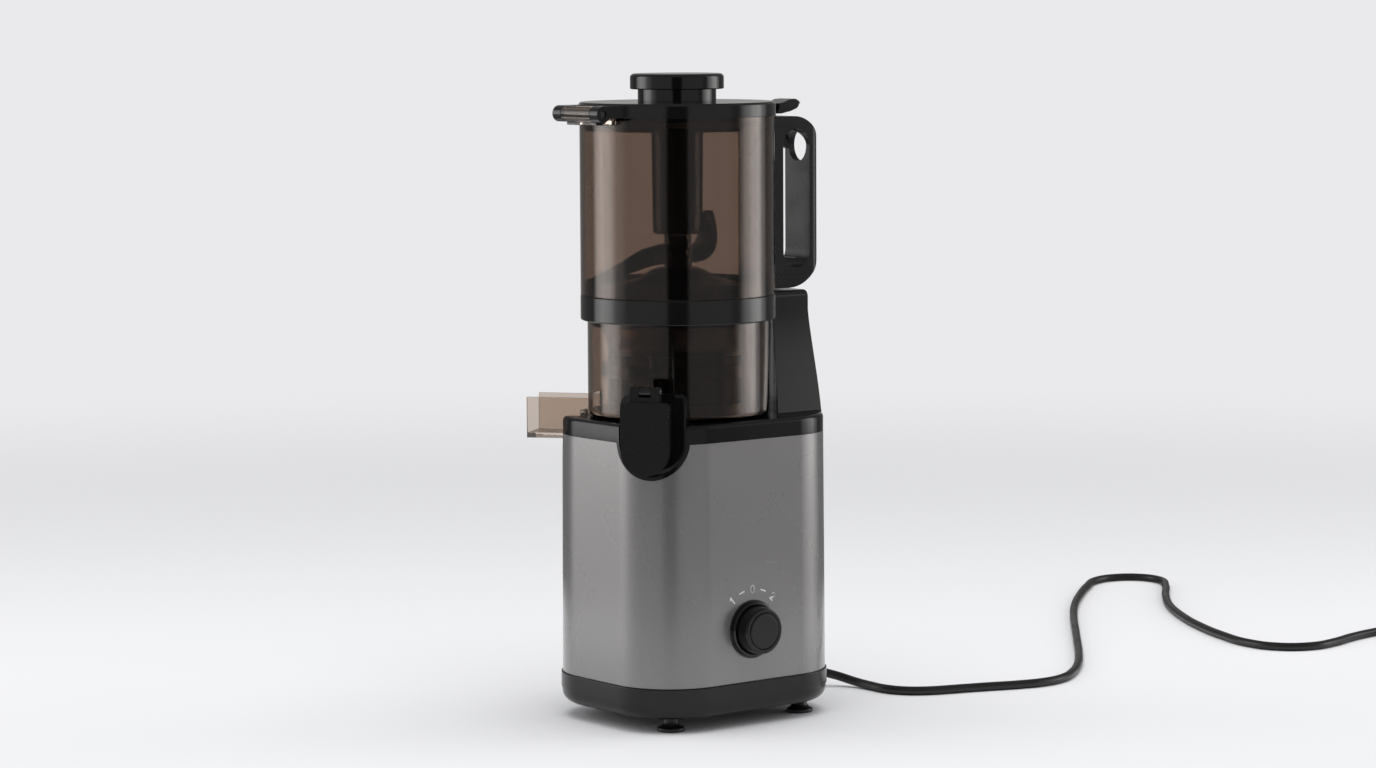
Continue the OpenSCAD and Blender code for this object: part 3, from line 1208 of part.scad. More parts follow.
module lever_pin() color(steel) about_drive() lever_axis(-ear_out, ear_out, lever_pin_r);

// The lid: a disc with a skirt, a feed neck and two hinge arms
lid_proud = 0.8;
lid_r = hopper_r + lid_proud;
lid_edge = 1.6;
lid_plate_t = 3;
lid_skirt_t = 2.6;
lid_skirt_gap = 1.2;
lid_skirt_r = hopper_in_r - lid_skirt_gap;
feed_wall = 2.2;
feed_drop = 12;
neck_wall = 2.5;
groove_up = 3;
groove_h = 4;
groove_t = 1.3;
gasket_out = 0.4;
arm_gap = 0.3;
module lid() color(black) about_drive() difference() {
    union() {
        rotate_extrude() polygon([[feed_bore_r, z_lid - feed_drop],
            [feed_bore_r + feed_wall, z_lid - feed_drop],
            [feed_bore_r + feed_wall, z_cap - neck_wall], [neck_r - neck_wall, z_cap - neck_wall],
            [neck_r - neck_wall, z_neck - lid_plate_t],
                [lid_skirt_r - lid_skirt_t, z_neck - lid_plate_t],
            [lid_skirt_r - lid_skirt_t, z_lid - lid_skirt_h], [lid_skirt_r, z_lid - lid_skirt_h],
            [lid_skirt_r, z_lid - lid_skirt_h + groove_up],
                [lid_skirt_r - groove_t, z_lid - lid_skirt_h + groove_up],
            [lid_skirt_r - groove_t, z_lid - lid_skirt_h + groove_up + groove_h],
            [lid_skirt_r, z_lid - lid_skirt_h + groove_up + groove_h], [lid_skirt_r, z_lid],
                [lid_r, z_lid],
            [lid_r, z_neck - lid_edge], [lid_r - lid_edge, z_neck], [neck_r, z_neck], [neck_r, z_cap],
                [feed_bore_r, z_cap]]);
        for (s = [-1, 1]) {
            x0 = s > 0 ? hinge_knuckle_half + arm_gap : -hinge_half;
            x1 = s > 0 ? hinge_half : -hinge_knuckle_half - arm_gap;
            barrel(x0, x1, hinge_r);
            box(x0, x1, -hinge_reach, -lid_skirt_r * cos(25), z_lid + gap, z_hinge + hinge_r);
        }
    }
    barrel(-hinge_half, hinge_half, hinge_pin_r + run);
}
module lid_gasket() color([0.3, 0.3, 0.32]) about_drive()
    tube(lid_skirt_r + gasket_out, lid_skirt_r - groove_t,
    z_lid - lid_skirt_h + groove_up, z_lid - lid_skirt_h + groove_up + groove_h);

// The pusher: a hollow rod that hangs from its cap on the lid's neck
rod_wall = 2.2;
rod_taper = 0.8;
rod_edge = 1.5;
cap_spigot_h = 6;
cap_edge = 1.8;
module pusher_rod() color(black) about_drive() rotate_extrude() polygon([[0, z_cap - rod_reach],
    [rod_r - rod_taper - rod_edge, z_cap - rod_reach], [rod_r - rod_taper, z_cap - rod_reach + rod_edge],
    [rod_r, z_cap], [rod_r - rod_wall, z_cap],
        [rod_r - rod_taper - rod_wall, z_cap - rod_reach + rod_wall],
        [0, z_cap - rod_reach + rod_wall]]);
module pusher_cap() color(black) about_drive() rotate_extrude() polygon([[0, z_cap - cap_spigot_h],
    [rod_r - rod_wall - gap - rod_taper, z_cap - cap_spigot_h],
        [rod_r - rod_wall - gap - rod_taper, z_cap], [cap_r, z_cap],
    [cap_r, z_cap + cap_h - cap_edge], [cap_r - cap_edge, z_cap + cap_h], [0, z_cap + cap_h]]);

motor_housing();
top_collar();
rear_post();
base_band();
bottom_cover();
rubber_feet();
cover_screws();
dial_bezel();
rotary_switch();
motor_stator();
motor_windings();
motor_end_bracket();
motor_bearings();
gearbox_case();
gearbox_cover();
gearbox_screws();
lay_pin();
drive_bearings();
shaft_seal();
control_board();
reed_switch();
strain_relief();
mains_lead();
lead_coil();
plug_body();
plug_pins();
dial_knob();
dial_cap();
switch_spindle();
motor_rotor();
cooling_fan();
lay_gear();
output_gear();
drive_shaft();
juice_bowl();
bowl_seal();
spout_housing();
flap_pin();
pulp_trough();
strainer_basket();
strainer_screen();
strainer_rim();
spout_flap();
flap_seal();
auger();
auger_arm();
lock_ring();
hopper_shell();
feed_floor();
hopper_handle();
grip_cover();
handle_screws();
interlock_magnet();
lever_pin();
lid();
lid_gasket();
hinge_pin();
latch_lever();
pusher_rod();
pusher_cap();
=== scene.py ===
"""Looks of an upright slow juicer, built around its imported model."""
import json
import math

import bmesh
import bpy
from mathutils import Matrix, Vector
from mathutils.bvhtree import BVHTree


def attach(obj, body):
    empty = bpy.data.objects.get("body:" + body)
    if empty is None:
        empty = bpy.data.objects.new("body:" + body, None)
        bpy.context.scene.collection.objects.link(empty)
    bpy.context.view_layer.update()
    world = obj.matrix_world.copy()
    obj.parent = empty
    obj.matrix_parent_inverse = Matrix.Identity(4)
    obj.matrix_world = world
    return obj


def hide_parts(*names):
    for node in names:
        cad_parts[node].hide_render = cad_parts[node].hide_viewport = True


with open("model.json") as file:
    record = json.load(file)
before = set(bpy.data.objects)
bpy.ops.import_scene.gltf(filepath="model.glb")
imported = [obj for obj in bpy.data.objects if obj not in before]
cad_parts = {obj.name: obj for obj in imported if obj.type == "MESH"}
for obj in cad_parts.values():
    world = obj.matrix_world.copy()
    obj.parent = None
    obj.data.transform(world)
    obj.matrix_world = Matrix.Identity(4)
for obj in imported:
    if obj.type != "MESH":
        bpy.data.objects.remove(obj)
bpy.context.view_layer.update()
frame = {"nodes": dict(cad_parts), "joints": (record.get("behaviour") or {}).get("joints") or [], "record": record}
NODES = frame["nodes"]
BODY_OF = {n: b for b, members in frame["record"]["behaviour"]["bodies"].items() for n in members}
AUGER_JOINT = next(j for j in frame["joints"] if j["name"] == "auger_spin")
AXIS = Vector((AUGER_JOINT["pos_m"][0], AUGER_JOINT["pos_m"][1], 0))
MM = 0.001


def row(x, y, z):
    """A point given about the turning axis in mm, as metres in the row frame."""
    return Vector((x, y, z)) * MM + AXIS


def direction(azimuth):
    a = math.radians(azimuth)
    return Vector((math.sin(a), -math.cos(a), 0))


# Camera
CAM_AZIMUTH, CAM_DISTANCE, CAM_HEIGHT = 52.0, 2785.0, 517.6
CAM_PITCH, CAM_ROLL, CAM_FOCAL_PX, CAM_AXIS_PX = 5.7, 0.3, 3900.0, 678.5


def make_camera():
    toward = direction(CAM_AZIMUTH)
    right = Vector((-toward.y, toward.x, 0))
    yaw = math.atan((688 - CAM_AXIS_PX) / CAM_FOCAL_PX)
    ahead = -toward * math.cos(yaw) + right * math.sin(yaw)
    right = right * math.cos(yaw) + toward * math.sin(yaw)
    pitch = math.radians(CAM_PITCH)
    forward = ahead * math.cos(pitch) - Vector((0, 0, 1)) * math.sin(pitch)
    up = ahead * math.sin(pitch) + Vector((0, 0, 1)) * math.cos(pitch)
    roll = math.radians(CAM_ROLL)
    right2 = right * math.cos(roll) - up * math.sin(roll)
    up2 = right * math.sin(roll) + up * math.cos(roll)
    place = toward * CAM_DISTANCE
    m = Matrix((right2, up2, -forward)).transposed().to_4x4()
    m.translation = row(place.x, place.y, CAM_HEIGHT)
    data = bpy.data.cameras.new("Camera")
    data.sensor_width = 36
    data.lens = CAM_FOCAL_PX / 1376 * 36
    data.clip_end = 30
    cam = bpy.data.objects.new("Camera", data)
    bpy.context.scene.collection.objects.link(cam)
    cam.matrix_world = m
    bpy.context.scene.camera = cam


make_camera()


# Materials
def new_material(name):
    m = bpy.data.materials.new(name)
    m.use_nodes = True
    tree = m.node_tree
    shader = next(n for n in tree.nodes if n.type == "BSDF_PRINCIPLED")
    return m, tree, shader


def noise(tree, scale, detail=3.0, rough=0.5, squash=None):
    coord = tree.nodes.new("ShaderNodeTexCoord")
    out = coord.outputs["Object"]
    if squash:
        mapping = tree.nodes.new("ShaderNodeMapping")
        mapping.inputs["Scale"].default_value = squash
        tree.links.new(out, mapping.inputs["Vector"])
        out = mapping.outputs["Vector"]
    n = tree.nodes.new("ShaderNodeTexNoise")
    n.inputs["Scale"].default_value = scale
    n.inputs["Detail"].default_value = detail
    n.inputs["Roughness"].default_value = rough
    tree.links.new(out, n.inputs["Vector"])
    return n


def spread(tree, source, low, high, from_low=0.3, from_high=0.7):
    r = tree.nodes.new("ShaderNodeMapRange")
    r.inputs["From Min"].default_value = from_low
    r.inputs["From Max"].default_value = from_high
    r.inputs["To Min"].default_value = low
    r.inputs["To Max"].default_value = high
    tree.links.new(source, r.inputs["Value"])
    return r.outputs["Result"]


def bump(tree, source, shader, strength, distance):
    b = tree.nodes.new("ShaderNodeBump")
    b.inputs["Strength"].default_value = strength
    b.inputs["Distance"].default_value = distance
    tree.links.new(source, b.inputs["Height"])
    tree.links.new(b.outputs["Normal"], shader.inputs["Normal"])
    return b


def tint(tree, source, shader, low, high, from_low=0.3, from_high=0.7):
    ramp = tree.nodes.new("ShaderNodeValToRGB")
    ramp.color_ramp.elements[0].position = from_low
    ramp.color_ramp.elements[1].position = from_high
    ramp.color_ramp.elements[0].color = (*low, 1)
    ramp.color_ramp.elements[1].color = (*high, 1)
    tree.links.new(source, ramp.inputs["Fac"])
    tree.links.new(ramp.outputs["Color"], shader.inputs["Base Color"])


def plastic(name, low, high, rough, grain=900, grain_strength=0.05, cloud=18, ior=1.5):
    """Moulded plastic: slight tone clouds, varied gloss and a fine moulded grain."""
    m, tree, s = new_material(name)
    clouds = noise(tree, cloud, 4)
    tint(tree, clouds.outputs["Fac"], s, low, high)
    gloss = spread(tree, noise(tree, cloud * 3.1, 5).outputs["Fac"], rough[0], rough[1])
    tree.links.new(gloss, s.inputs["Roughness"])
    bump(tree, noise(tree, grain, 2).outputs["Fac"], s, grain_strength, 0.0002)
    s.inputs["IOR"].default_value = ior
    return m


def metal(name, low, high, rough, squash=(1, 1, 1), grain=300, strength=0.05):
    m, tree, s = new_material(name)
    n = noise(tree, grain, 4, squash=squash)
    tint(tree, n.outputs["Fac"], s, low, high)
    tree.links.new(spread(tree, n.outputs["Fac"], rough[0], rough[1]), s.inputs["Roughness"])
    bump(tree, n.outputs["Fac"], s, strength, 0.0002)
    s.inputs["Metallic"].default_value = 1.0
    return m


def clear(name, colour, rough=0.03, ior=1.49):
    """Tinted see-through plastic with faint surface ripple."""
    m, tree, s = new_material(name)
    s.inputs["Base Color"].default_value = (*colour, 1)
    s.inputs["Transmission Weight"].default_value = 1.0
    s.inputs["IOR"].default_value = ior
    tree.links.new(spread(tree, noise(tree, 40, 3).outputs["Fac"], rough, rough * 2.2), s.inputs["Roughness"])
    bump(tree, noise(tree, 14, 2, squash=(1, 1, 0.35)).outputs["Fac"], s, 0.04, 0.001)
    return m


MAT = {
    "gloss": plastic("black_gloss", (0.0035, 0.0035, 0.0038), (0.0055, 0.0055, 0.0058),
                     (0.08, 0.13), 700, 0.02),
    "deck": plastic("black_deck", (0.0035, 0.0035, 0.0038), (0.0055, 0.0055, 0.0058),
                    (0.08, 0.13), 700, 0.02, ior=1.39),
    "satin": plastic("black_satin", (0.003, 0.003, 0.0032), (0.0055, 0.0055, 0.0058),
                     (0.20, 0.27), 1300, 0.06, ior=1.41),
    "grip": plastic("black_grip", (0.0065, 0.0065, 0.0068), (0.0095, 0.0095, 0.0098),
                    (0.22, 0.3), 1600, 0.06, ior=1.31),
    "inner": plastic("black_inner", (0.0025, 0.0025, 0.0025), (0.0045, 0.0045, 0.0043),
                     (0.14, 0.2), 900, 0.05, ior=1.42),
    "trim": plastic("dark_trim", (0.006, 0.006, 0.0063), (0.009, 0.009, 0.0093),
                    (0.33, 0.42), 1500, 0.06, ior=1.38),
    "rubber": plastic("black_rubber", (0.005, 0.005, 0.005), (0.009, 0.009, 0.009), (0.32, 0.44), 1200, 0.12),
    "seal": plastic("seal_rubber", (0.040, 0.040, 0.043), (0.055, 0.055, 0.058), (0.5, 0.62), 1200, 0.1),
    "pale": plastic("pale_plastic", (0.62, 0.60, 0.53), (0.70, 0.68, 0.60), (0.3, 0.45), 800, 0.05),
    "board": plastic("board_green", (0.010, 0.07, 0.03), (0.018, 0.10, 0.045), (0.25, 0.4), 500, 0.05),
    "switch": plastic("switch_blue", (0.02, 0.035, 0.10), (0.03, 0.05, 0.13), (0.35, 0.45), 900, 0.05),
    "copper": plastic("copper_wire", (0.30, 0.09, 0.025), (0.42, 0.14, 0.045), (0.25, 0.4), 500, 0.4),
    "print": plastic("printed_mark", (0.82, 0.82, 0.82), (0.90, 0.90, 0.90), (0.4, 0.5), 900, 0.02),
    "steel": metal("steel", (0.50, 0.51, 0.53), (0.62, 0.63, 0.65), (0.18, 0.32), (1, 1, 8), 220, 0.08),
    "dark": metal("dark_steel", (0.045, 0.046, 0.048), (0.075, 0.076, 0.078),
                  (0.28, 0.4), (1, 1, 4), 260, 0.06),
    "mesh": metal("screen_steel", (0.030, 0.031, 0.033), (0.060, 0.061, 0.063),
                  (0.35, 0.5), (1, 1, 1), 900, 0.5),
    "cast": metal("cast_aluminium", (0.50, 0.50, 0.51), (0.60, 0.60, 0.61), (0.45, 0.6), (1, 1, 1), 350, 0.3),
    "brass": metal("brass", (0.60, 0.44, 0.17), (0.72, 0.54, 0.24), (0.2, 0.34), (1, 1, 6), 260, 0.06),
    "hopper": clear("smoky_hopper", (0.36, 0.285, 0.24), ior=1.45),
    "bowl": clear("smoky_bowl", (0.42, 0.34, 0.29), ior=1.42),
    "rim": clear("amber_rim", (0.50, 0.35, 0.26), 0.12),
    "trough": clear("amber_trough", (0.66, 0.57, 0.50), 0.03),
}


def painted_housing():
    """Grey metallic paint under clear lacquer."""
    m, tree, s = new_material("grey_paint")
    flakes = noise(tree, 2600, 2)
    tint(tree, flakes.outputs["Fac"], s, (0.200, 0.195, 0.195), (0.240, 0.234, 0.232), 0.35, 0.68)
    tree.links.new(spread(tree, noise(tree, 12, 4).outputs["Fac"], 0.25, 0.31), s.inputs["Roughness"])
    bump(tree, noise(tree, 1900, 2).outputs["Fac"], s, 0.02, 0.0002)
    s.inputs["Metallic"].default_value = 0.55
    s.inputs["Coat Weight"].default_value = 0.55
    s.inputs["Coat Roughness"].default_value = 0.10
    return m


MAT["paint"] = painted_housing()


# Making pieces
def link(name, mesh, material, body, smooth=35):
    obj = bpy.data.objects.new(name, mesh)
    bpy.context.scene.collection.objects.link(obj)
    mesh.materials.clear()
    mesh.materials.append(material)
    mesh.shade_smooth()
    mesh.set_sharp_from_angle(angle=math.radians(smooth))
    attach(obj, body)
    return obj


def cleaned(node):
    """The CAD mesh joined up and without its flat faces' inner edges."""
    bm = bmesh.new()
    bm.from_mesh(NODES[node].data)
    bmesh.ops.remove_doubles(bm, verts=bm.verts, dist=2e-6)
    bmesh.ops.dissolve_limit(bm, angle_limit=math.radians(0.6), verts=bm.verts, edges=bm.edges)
    return bm


def softened(node, material, width=0.5, name=None, segments=3, angle=32):
    """A copy of a CAD node with rounded edges, in its place."""
    bm = cleaned(node)
    sharp = [e for e in bm.edges if len(e.link_faces) == 2 and e.calc_face_angle(0) > math.radians(angle)]
    bmesh.ops.bevel(bm, geom=sharp, offset=width * MM, offset_type="OFFSET", segments=segments,
                    profile=0.5, clamp_overlap=True, affect="EDGES")
    bmesh.ops.remove_doubles(bm, verts=bm.verts, dist=1e-6)
    mesh = bpy.data.meshes.new(name or node + "_skin")
    bm.to_mesh(mesh)
    bm.free()
    obj = link(name or node + "_skin", mesh, material, BODY_OF[node], 38)
    mod = obj.modifiers.new("Even shading", "WEIGHTED_NORMAL")
    mod.keep_sharp = True
    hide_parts(node)
    return obj


def shaded(node, material):
    """The CAD node itself, with a finished material."""
    mesh = NODES[node].data
    mesh.materials.clear()
    mesh.materials.append(material)


# The mains lead
LEAD_R = 3.25
LEAD_START = (-18.903, 109.625, 15.5)
LEAD_ROUTE = [(-16, 129, 12), (-8, 141, 8), (5, 148, 4.5)] + [(x, y, LEAD_R) for x, y in (
    (21, 150), (38, 150), (53, 156), (64, 170), (71, 190), (79, 214), (88, 239), (92, 261), (88, 283),
    (75, 305), (52, 333), (18, 367), (-20, 402), (-66, 444), (-114, 488), (-160, 533), (-201, 579),
    (-230, 615), (-249, 643), (-252, 668), (-238, 688), (-214, 689), (-190, 671), (-154, 635),
    (-108, 594), (-62, 562), (-16, 536), (30, 516), (66, 506), (94, 511), (109, 532), (108, 559),
    (100, 589), (95, 621), (94, 653))]
COIL_X, COIL_Y, COIL_TURNS, COIL_PITCH = 134.0, 687.0, 2.25, 7.1
COIL_GROW = COIL_PITCH * COIL_TURNS / 2
COIL_OUT = 36 + COIL_GROW / 2
COIL_TAIL = 34.0


def coil_point(t):
    r = COIL_OUT - COIL_GROW * (1 - abs(1 - 2 * t / COIL_TURNS))
    c = min(1, max(0, (t - COIL_TURNS / 2) * 2 + 0.5))
    z = LEAD_R + COIL_PITCH * (3 * c * c - 2 * c ** 3)
    a = 2 * math.pi * t
    return (COIL_X - r * math.cos(a), COIL_Y + r * math.sin(a), z)


COIL = [coil_point(i / 24) for i in range(int(24 * COIL_TURNS) + 1)]
TAIL = [(COIL[-1][0] + COIL_TAIL * f, COIL[-1][1], COIL[-1][2]) for f in (0.5, 1.0)]


def make_lead():
    first = (LEAD_START[0], LEAD_START[1] + 2 * LEAD_R, LEAD_START[2])
    meet = [(COIL[0][0], COIL[0][1] - 2 * LEAD_R * n, LEAD_R) for n in (2, 1)]
    points = [Vector(p) * MM for p in [LEAD_START, first] + LEAD_ROUTE + meet + COIL + TAIL]
    curve = bpy.data.curves.new("mains_flex", "CURVE")
    curve.dimensions = "3D"
    curve.bevel_depth = LEAD_R * MM
    curve.bevel_resolution = 6
    curve.resolution_u = 6
    curve.use_fill_caps = True
    spline = curve.splines.new("BEZIER")
    spline.bezier_points.add(len(points) - 1)
    for b, p in zip(spline.bezier_points, points):
        b.co = p
        b.handle_left_type = b.handle_right_type = "AUTO"
    obj = bpy.data.objects.new("mains_flex", curve)
    bpy.context.scene.collection.objects.link(obj)
    curve.materials.append(MAT["rubber"])
    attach(obj, "base")
    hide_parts("mains_lead", "lead_coil")
    return obj


softened("plug_body", MAT["rubber"], 1.2, "plug_skin")
softened("strain_relief", MAT["rubber"], 0.3, "relief_sleeve", 2)
shaded("plug_pins", MAT["brass"])
make_lead()

# Carried-over pieces
for node, material, width in (
        ("motor_housing", "paint", 0.5), ("top_collar", "deck", 0.7), ("rear_post", "gloss", 1.2),
        ("base_band", "satin", 0.5), ("bottom_cover", "satin", 0.5), ("rubber_feet", "rubber", 0.4),
        ("dial_bezel", "gloss", 0.3), ("dial_knob", "satin", 0.5), ("dial_cap", "trim", 0.4),
        ("spout_housing", "gloss", 0.8), ("spout_flap", "grip", 0.7), ("lock_ring", "gloss", 0.4),
        ("feed_floor", "inner", 0.4), ("hopper_handle", "grip", 2.0), ("grip_cover", "grip", 1.6),
        ("latch_lever", "gloss", 0.4), ("lid", "gloss", 0.6), ("pusher_rod", "inner", 0.5),
        ("pusher_cap", "gloss", 0.8), ("strainer_basket", "inner", 0.4), ("auger", "inner", 0.3),
        ("auger_arm", "inner", 1.2), ("juice_bowl", "bowl", 0.5), ("hopper_shell", "hopper", 0.5),
        ("strainer_rim", "rim", 0.3), ("pulp_trough", "trough", 0.5), ("handle_screws", "dark", 0.15),
        ("flap_pin", "steel", 0.2), ("hinge_pin", "dark", 0.3), ("lever_pin", "steel", 0.2),
        ("cover_screws", "steel", 0.2)):
    softened(node, MAT[material], width)
for node, material in (
        ("motor_stator", "steel"), ("motor_windings", "copper"), ("motor_end_bracket", "cast"),
        ("motor_bearings", "brass"), ("gearbox_case", "cast"), ("gearbox_cover", "cast"),
        ("gearbox_screws", "steel"), ("lay_pin", "steel"), ("drive_bearings", "brass"),
        ("shaft_seal", "seal"), ("control_board", "board"), ("reed_switch", "pale"),
        ("rotary_switch", "switch"), ("switch_spindle", "steel"), ("motor_rotor", "steel"),
        ("cooling_fan", "pale"), ("lay_gear", "pale"), ("output_gear", "pale"), ("drive_shaft", "steel"),
        ("bowl_seal", "seal"), ("strainer_screen", "mesh"), ("flap_seal", "seal"),
        ("interlock_magnet", "steel"), ("lid_gasket", "seal")):
    shaded(node, MAT[material])


# Plain numerals round the dial
DIAL_Y, DIAL_Z = 9.0, 70.0              # about the turning axis, in mm
MARK_RADIUS, MARK_SIZE, MARK_DEPTH = 28.5, 6.2, 0.12
MARKS = [("1", -40), ("-", -20), ("0", 0), ("-", 20), ("2", 40)]


def stroke(points, half):
    """Outline quads of a thin stroke through the points, as (quad corners) lists."""
    quads = []
    for a, b in zip(points, points[1:]):
        a, b = Vector(a), Vector(b)
        along = (b - a).normalized()
        side = Vector((-along.y, along.x)) * half
        quads.append([a - side - along * half, a + side - along * half,
                      b + side + along * half, b - side + along * half])
    return quads


def arc_points(centre, rx, ry, start, end, steps=14):
    return [(centre[0] + rx * math.cos(math.radians(start + (end - start) * i / steps)),
             centre[1] + ry * math.sin(math.radians(start + (end - start) * i / steps)))
            for i in range(steps + 1)]


STROKES = {
    "0": [arc_points((0, 0.5), 0.26, 0.42, 0, 360, 24)],
    "1": [[(-0.18, 0.74), (0.04, 0.92), (0.04, 0.08)]],
    "2": [arc_points((0, 0.68), 0.24, 0.24, 170, -38) + [(-0.24, 0.08), (0.26, 0.08)]],
    "-": [[(-0.34, 0.5), (0.34, 0.5)]],
}


def dial_marks():
    """Numerals and dashes printed on the housing, laid onto its face."""
    housing = NODES["motor_housing"].data
    tree = BVHTree.FromPolygons([v.co for v in housing.vertices], [p.vertices for p in housing.polygons])
    bm = bmesh.new()
    for sign, angle in MARKS:
        a = math.radians(angle)
        for line in STROKES[sign]:
            for quad in stroke(line, 0.068):
                corners = []
                for p in quad:
                    across, out = p.x * MARK_SIZE, MARK_RADIUS + (p.y - 0.5) * MARK_SIZE
                    y = DIAL_Y + out * math.sin(a) + across * math.cos(a)
                    z = DIAL_Z + out * math.cos(a) - across * math.sin(a)
                    start = row(90, y, z)
                    hit = tree.ray_cast(start, Vector((-1, 0, 0)))[0]
                    corners.append(bm.verts.new((hit.x + MARK_DEPTH * MM, hit.y, hit.z)))
                bm.faces.new(corners)
    mesh = bpy.data.meshes.new("dial_marks")
    bm.to_mesh(mesh)
    bm.free()
    link("dial_marks", mesh, MAT["print"], "base")


dial_marks()

# Floor, backdrop and light
PAPER_TONE = (0.82, 0.82, 0.835)
FLOOR_EDGE = 9.0
FLOOR_MIRROR_END = 0.62                 # how far out mirrors still see the floor itself

# What mirrors see of the studio, by azimuth round from the camera's side: a dark gap at the camera, grey
# walls in front, a soft bright panel on each side, dark cards behind the panels and a dim far wall
STUDIO_WALLS = ((-180, 0.4), (-155, 0.15), (-120, 0.15), (-110, 2.0), (-100, 3.2), (-90, 3.2), (-75, 1.0),
                (-60, 0.4), (-15, 0.4), (-10, 0.03), (10, 0.03), (15, 0.4), (60, 0.4), (75, 0.2), (90, 2.0),
                (100, 3.2), (110, 3.2), (120, 1.0), (130, 0.15), (155, 0.15), (180, 0.4))
STUDIO_PEAK = max(bright for azimuth, bright in STUDIO_WALLS)
PANEL_FOOT = (-0.118, -0.108)           # the panels end here, as the height of a direction of length 1
BELOW_PANELS = 0.4                      # mirrors see nothing brighter than this below them
CEILING_FROM = (0.30, 0.62)
CEILING = 0.25


def math_node(tree, operation, *values, clamp=False):
    """A Math node fed by sockets or numbers; gives its output."""
    n = tree.nodes.new("ShaderNodeMath")
    n.operation = operation
    n.use_clamp = clamp
    for i, v in enumerate(values):
        if isinstance(v, (int, float)):
            n.inputs[i].default_value = v
        else:
            tree.links.new(v, n.inputs[i])
    return n.outputs[0]


def mirror_ray(tree, path):
    """1 for rays that a glossy surface has sent on, also when they then pass through clear plastic."""
    bounced = math_node(tree, "GREATER_THAN", path.outputs["Glossy Depth"], 0.5)
    not_diffuse = math_node(tree, "SUBTRACT", 1.0, path.outputs["Is Diffuse Ray"])
    return math_node(tree, "MULTIPLY", bounced, not_diffuse)


def studio_reflection(tree):
    """Brightness that mirrors see in a direction: walls by azimuth, floor below them, dim ceiling above."""
    coord = tree.nodes.new("ShaderNodeTexCoord")
    turn = tree.nodes.new("ShaderNodeVectorRotate")
    turn.rotation_type = "Z_AXIS"
    turn.inputs["Angle"].default_value = -math.radians(CAM_AZIMUTH)
    tree.links.new(coord.outputs["Generated"], turn.inputs["Vector"])
    parts = tree.nodes.new("ShaderNodeSeparateXYZ")
    tree.links.new(turn.outputs["Vector"], parts.inputs[0])
    back = math_node(tree, "MULTIPLY", parts.outputs["Y"], -1.0)
    angle = math_node(tree, "ARCTAN2", parts.outputs["X"], back)
    share = math_node(tree, "MULTIPLY_ADD", angle, 0.5 / math.pi, 0.5)
    ramp = tree.nodes.new("ShaderNodeValToRGB")
    ramp.color_ramp.interpolation = "EASE"
    stops = ramp.color_ramp.elements
    for azimuth, bright in STUDIO_WALLS[1:-1]:
        stops.new((azimuth + 180) / 360)
    for stop, (azimuth, bright) in zip(stops, STUDIO_WALLS):
        stop.color = (bright / STUDIO_PEAK,) * 3 + (1,)
    tree.links.new(share, ramp.inputs["Fac"])
    walls = math_node(tree, "MULTIPLY", ramp.outputs["Color"], STUDIO_PEAK)
    below = tree.nodes.new("ShaderNodeMapRange")
    below.inputs["From Min"].default_value, below.inputs["From Max"].default_value = PANEL_FOOT
    tree.links.new(parts.outputs["Z"], below.inputs["Value"])
    foot = tree.nodes.new("ShaderNodeMix")
    tree.links.new(below.outputs["Result"], foot.inputs["Factor"])
    tree.links.new(math_node(tree, "MINIMUM", walls, BELOW_PANELS), foot.inputs["A"])
    tree.links.new(walls, foot.inputs["B"])
    height = tree.nodes.new("ShaderNodeMapRange")
    height.interpolation_type = "SMOOTHSTEP"
    height.inputs["From Min"].default_value, height.inputs["From Max"].default_value = CEILING_FROM
    tree.links.new(parts.outputs["Z"], height.inputs["Value"])
    mix = tree.nodes.new("ShaderNodeMix")
    tree.links.new(height.outputs["Result"], mix.inputs["Factor"])
    tree.links.new(foot.outputs["Result"], mix.inputs["A"])
    mix.inputs["B"].default_value = CEILING
    return mix.outputs["Result"]


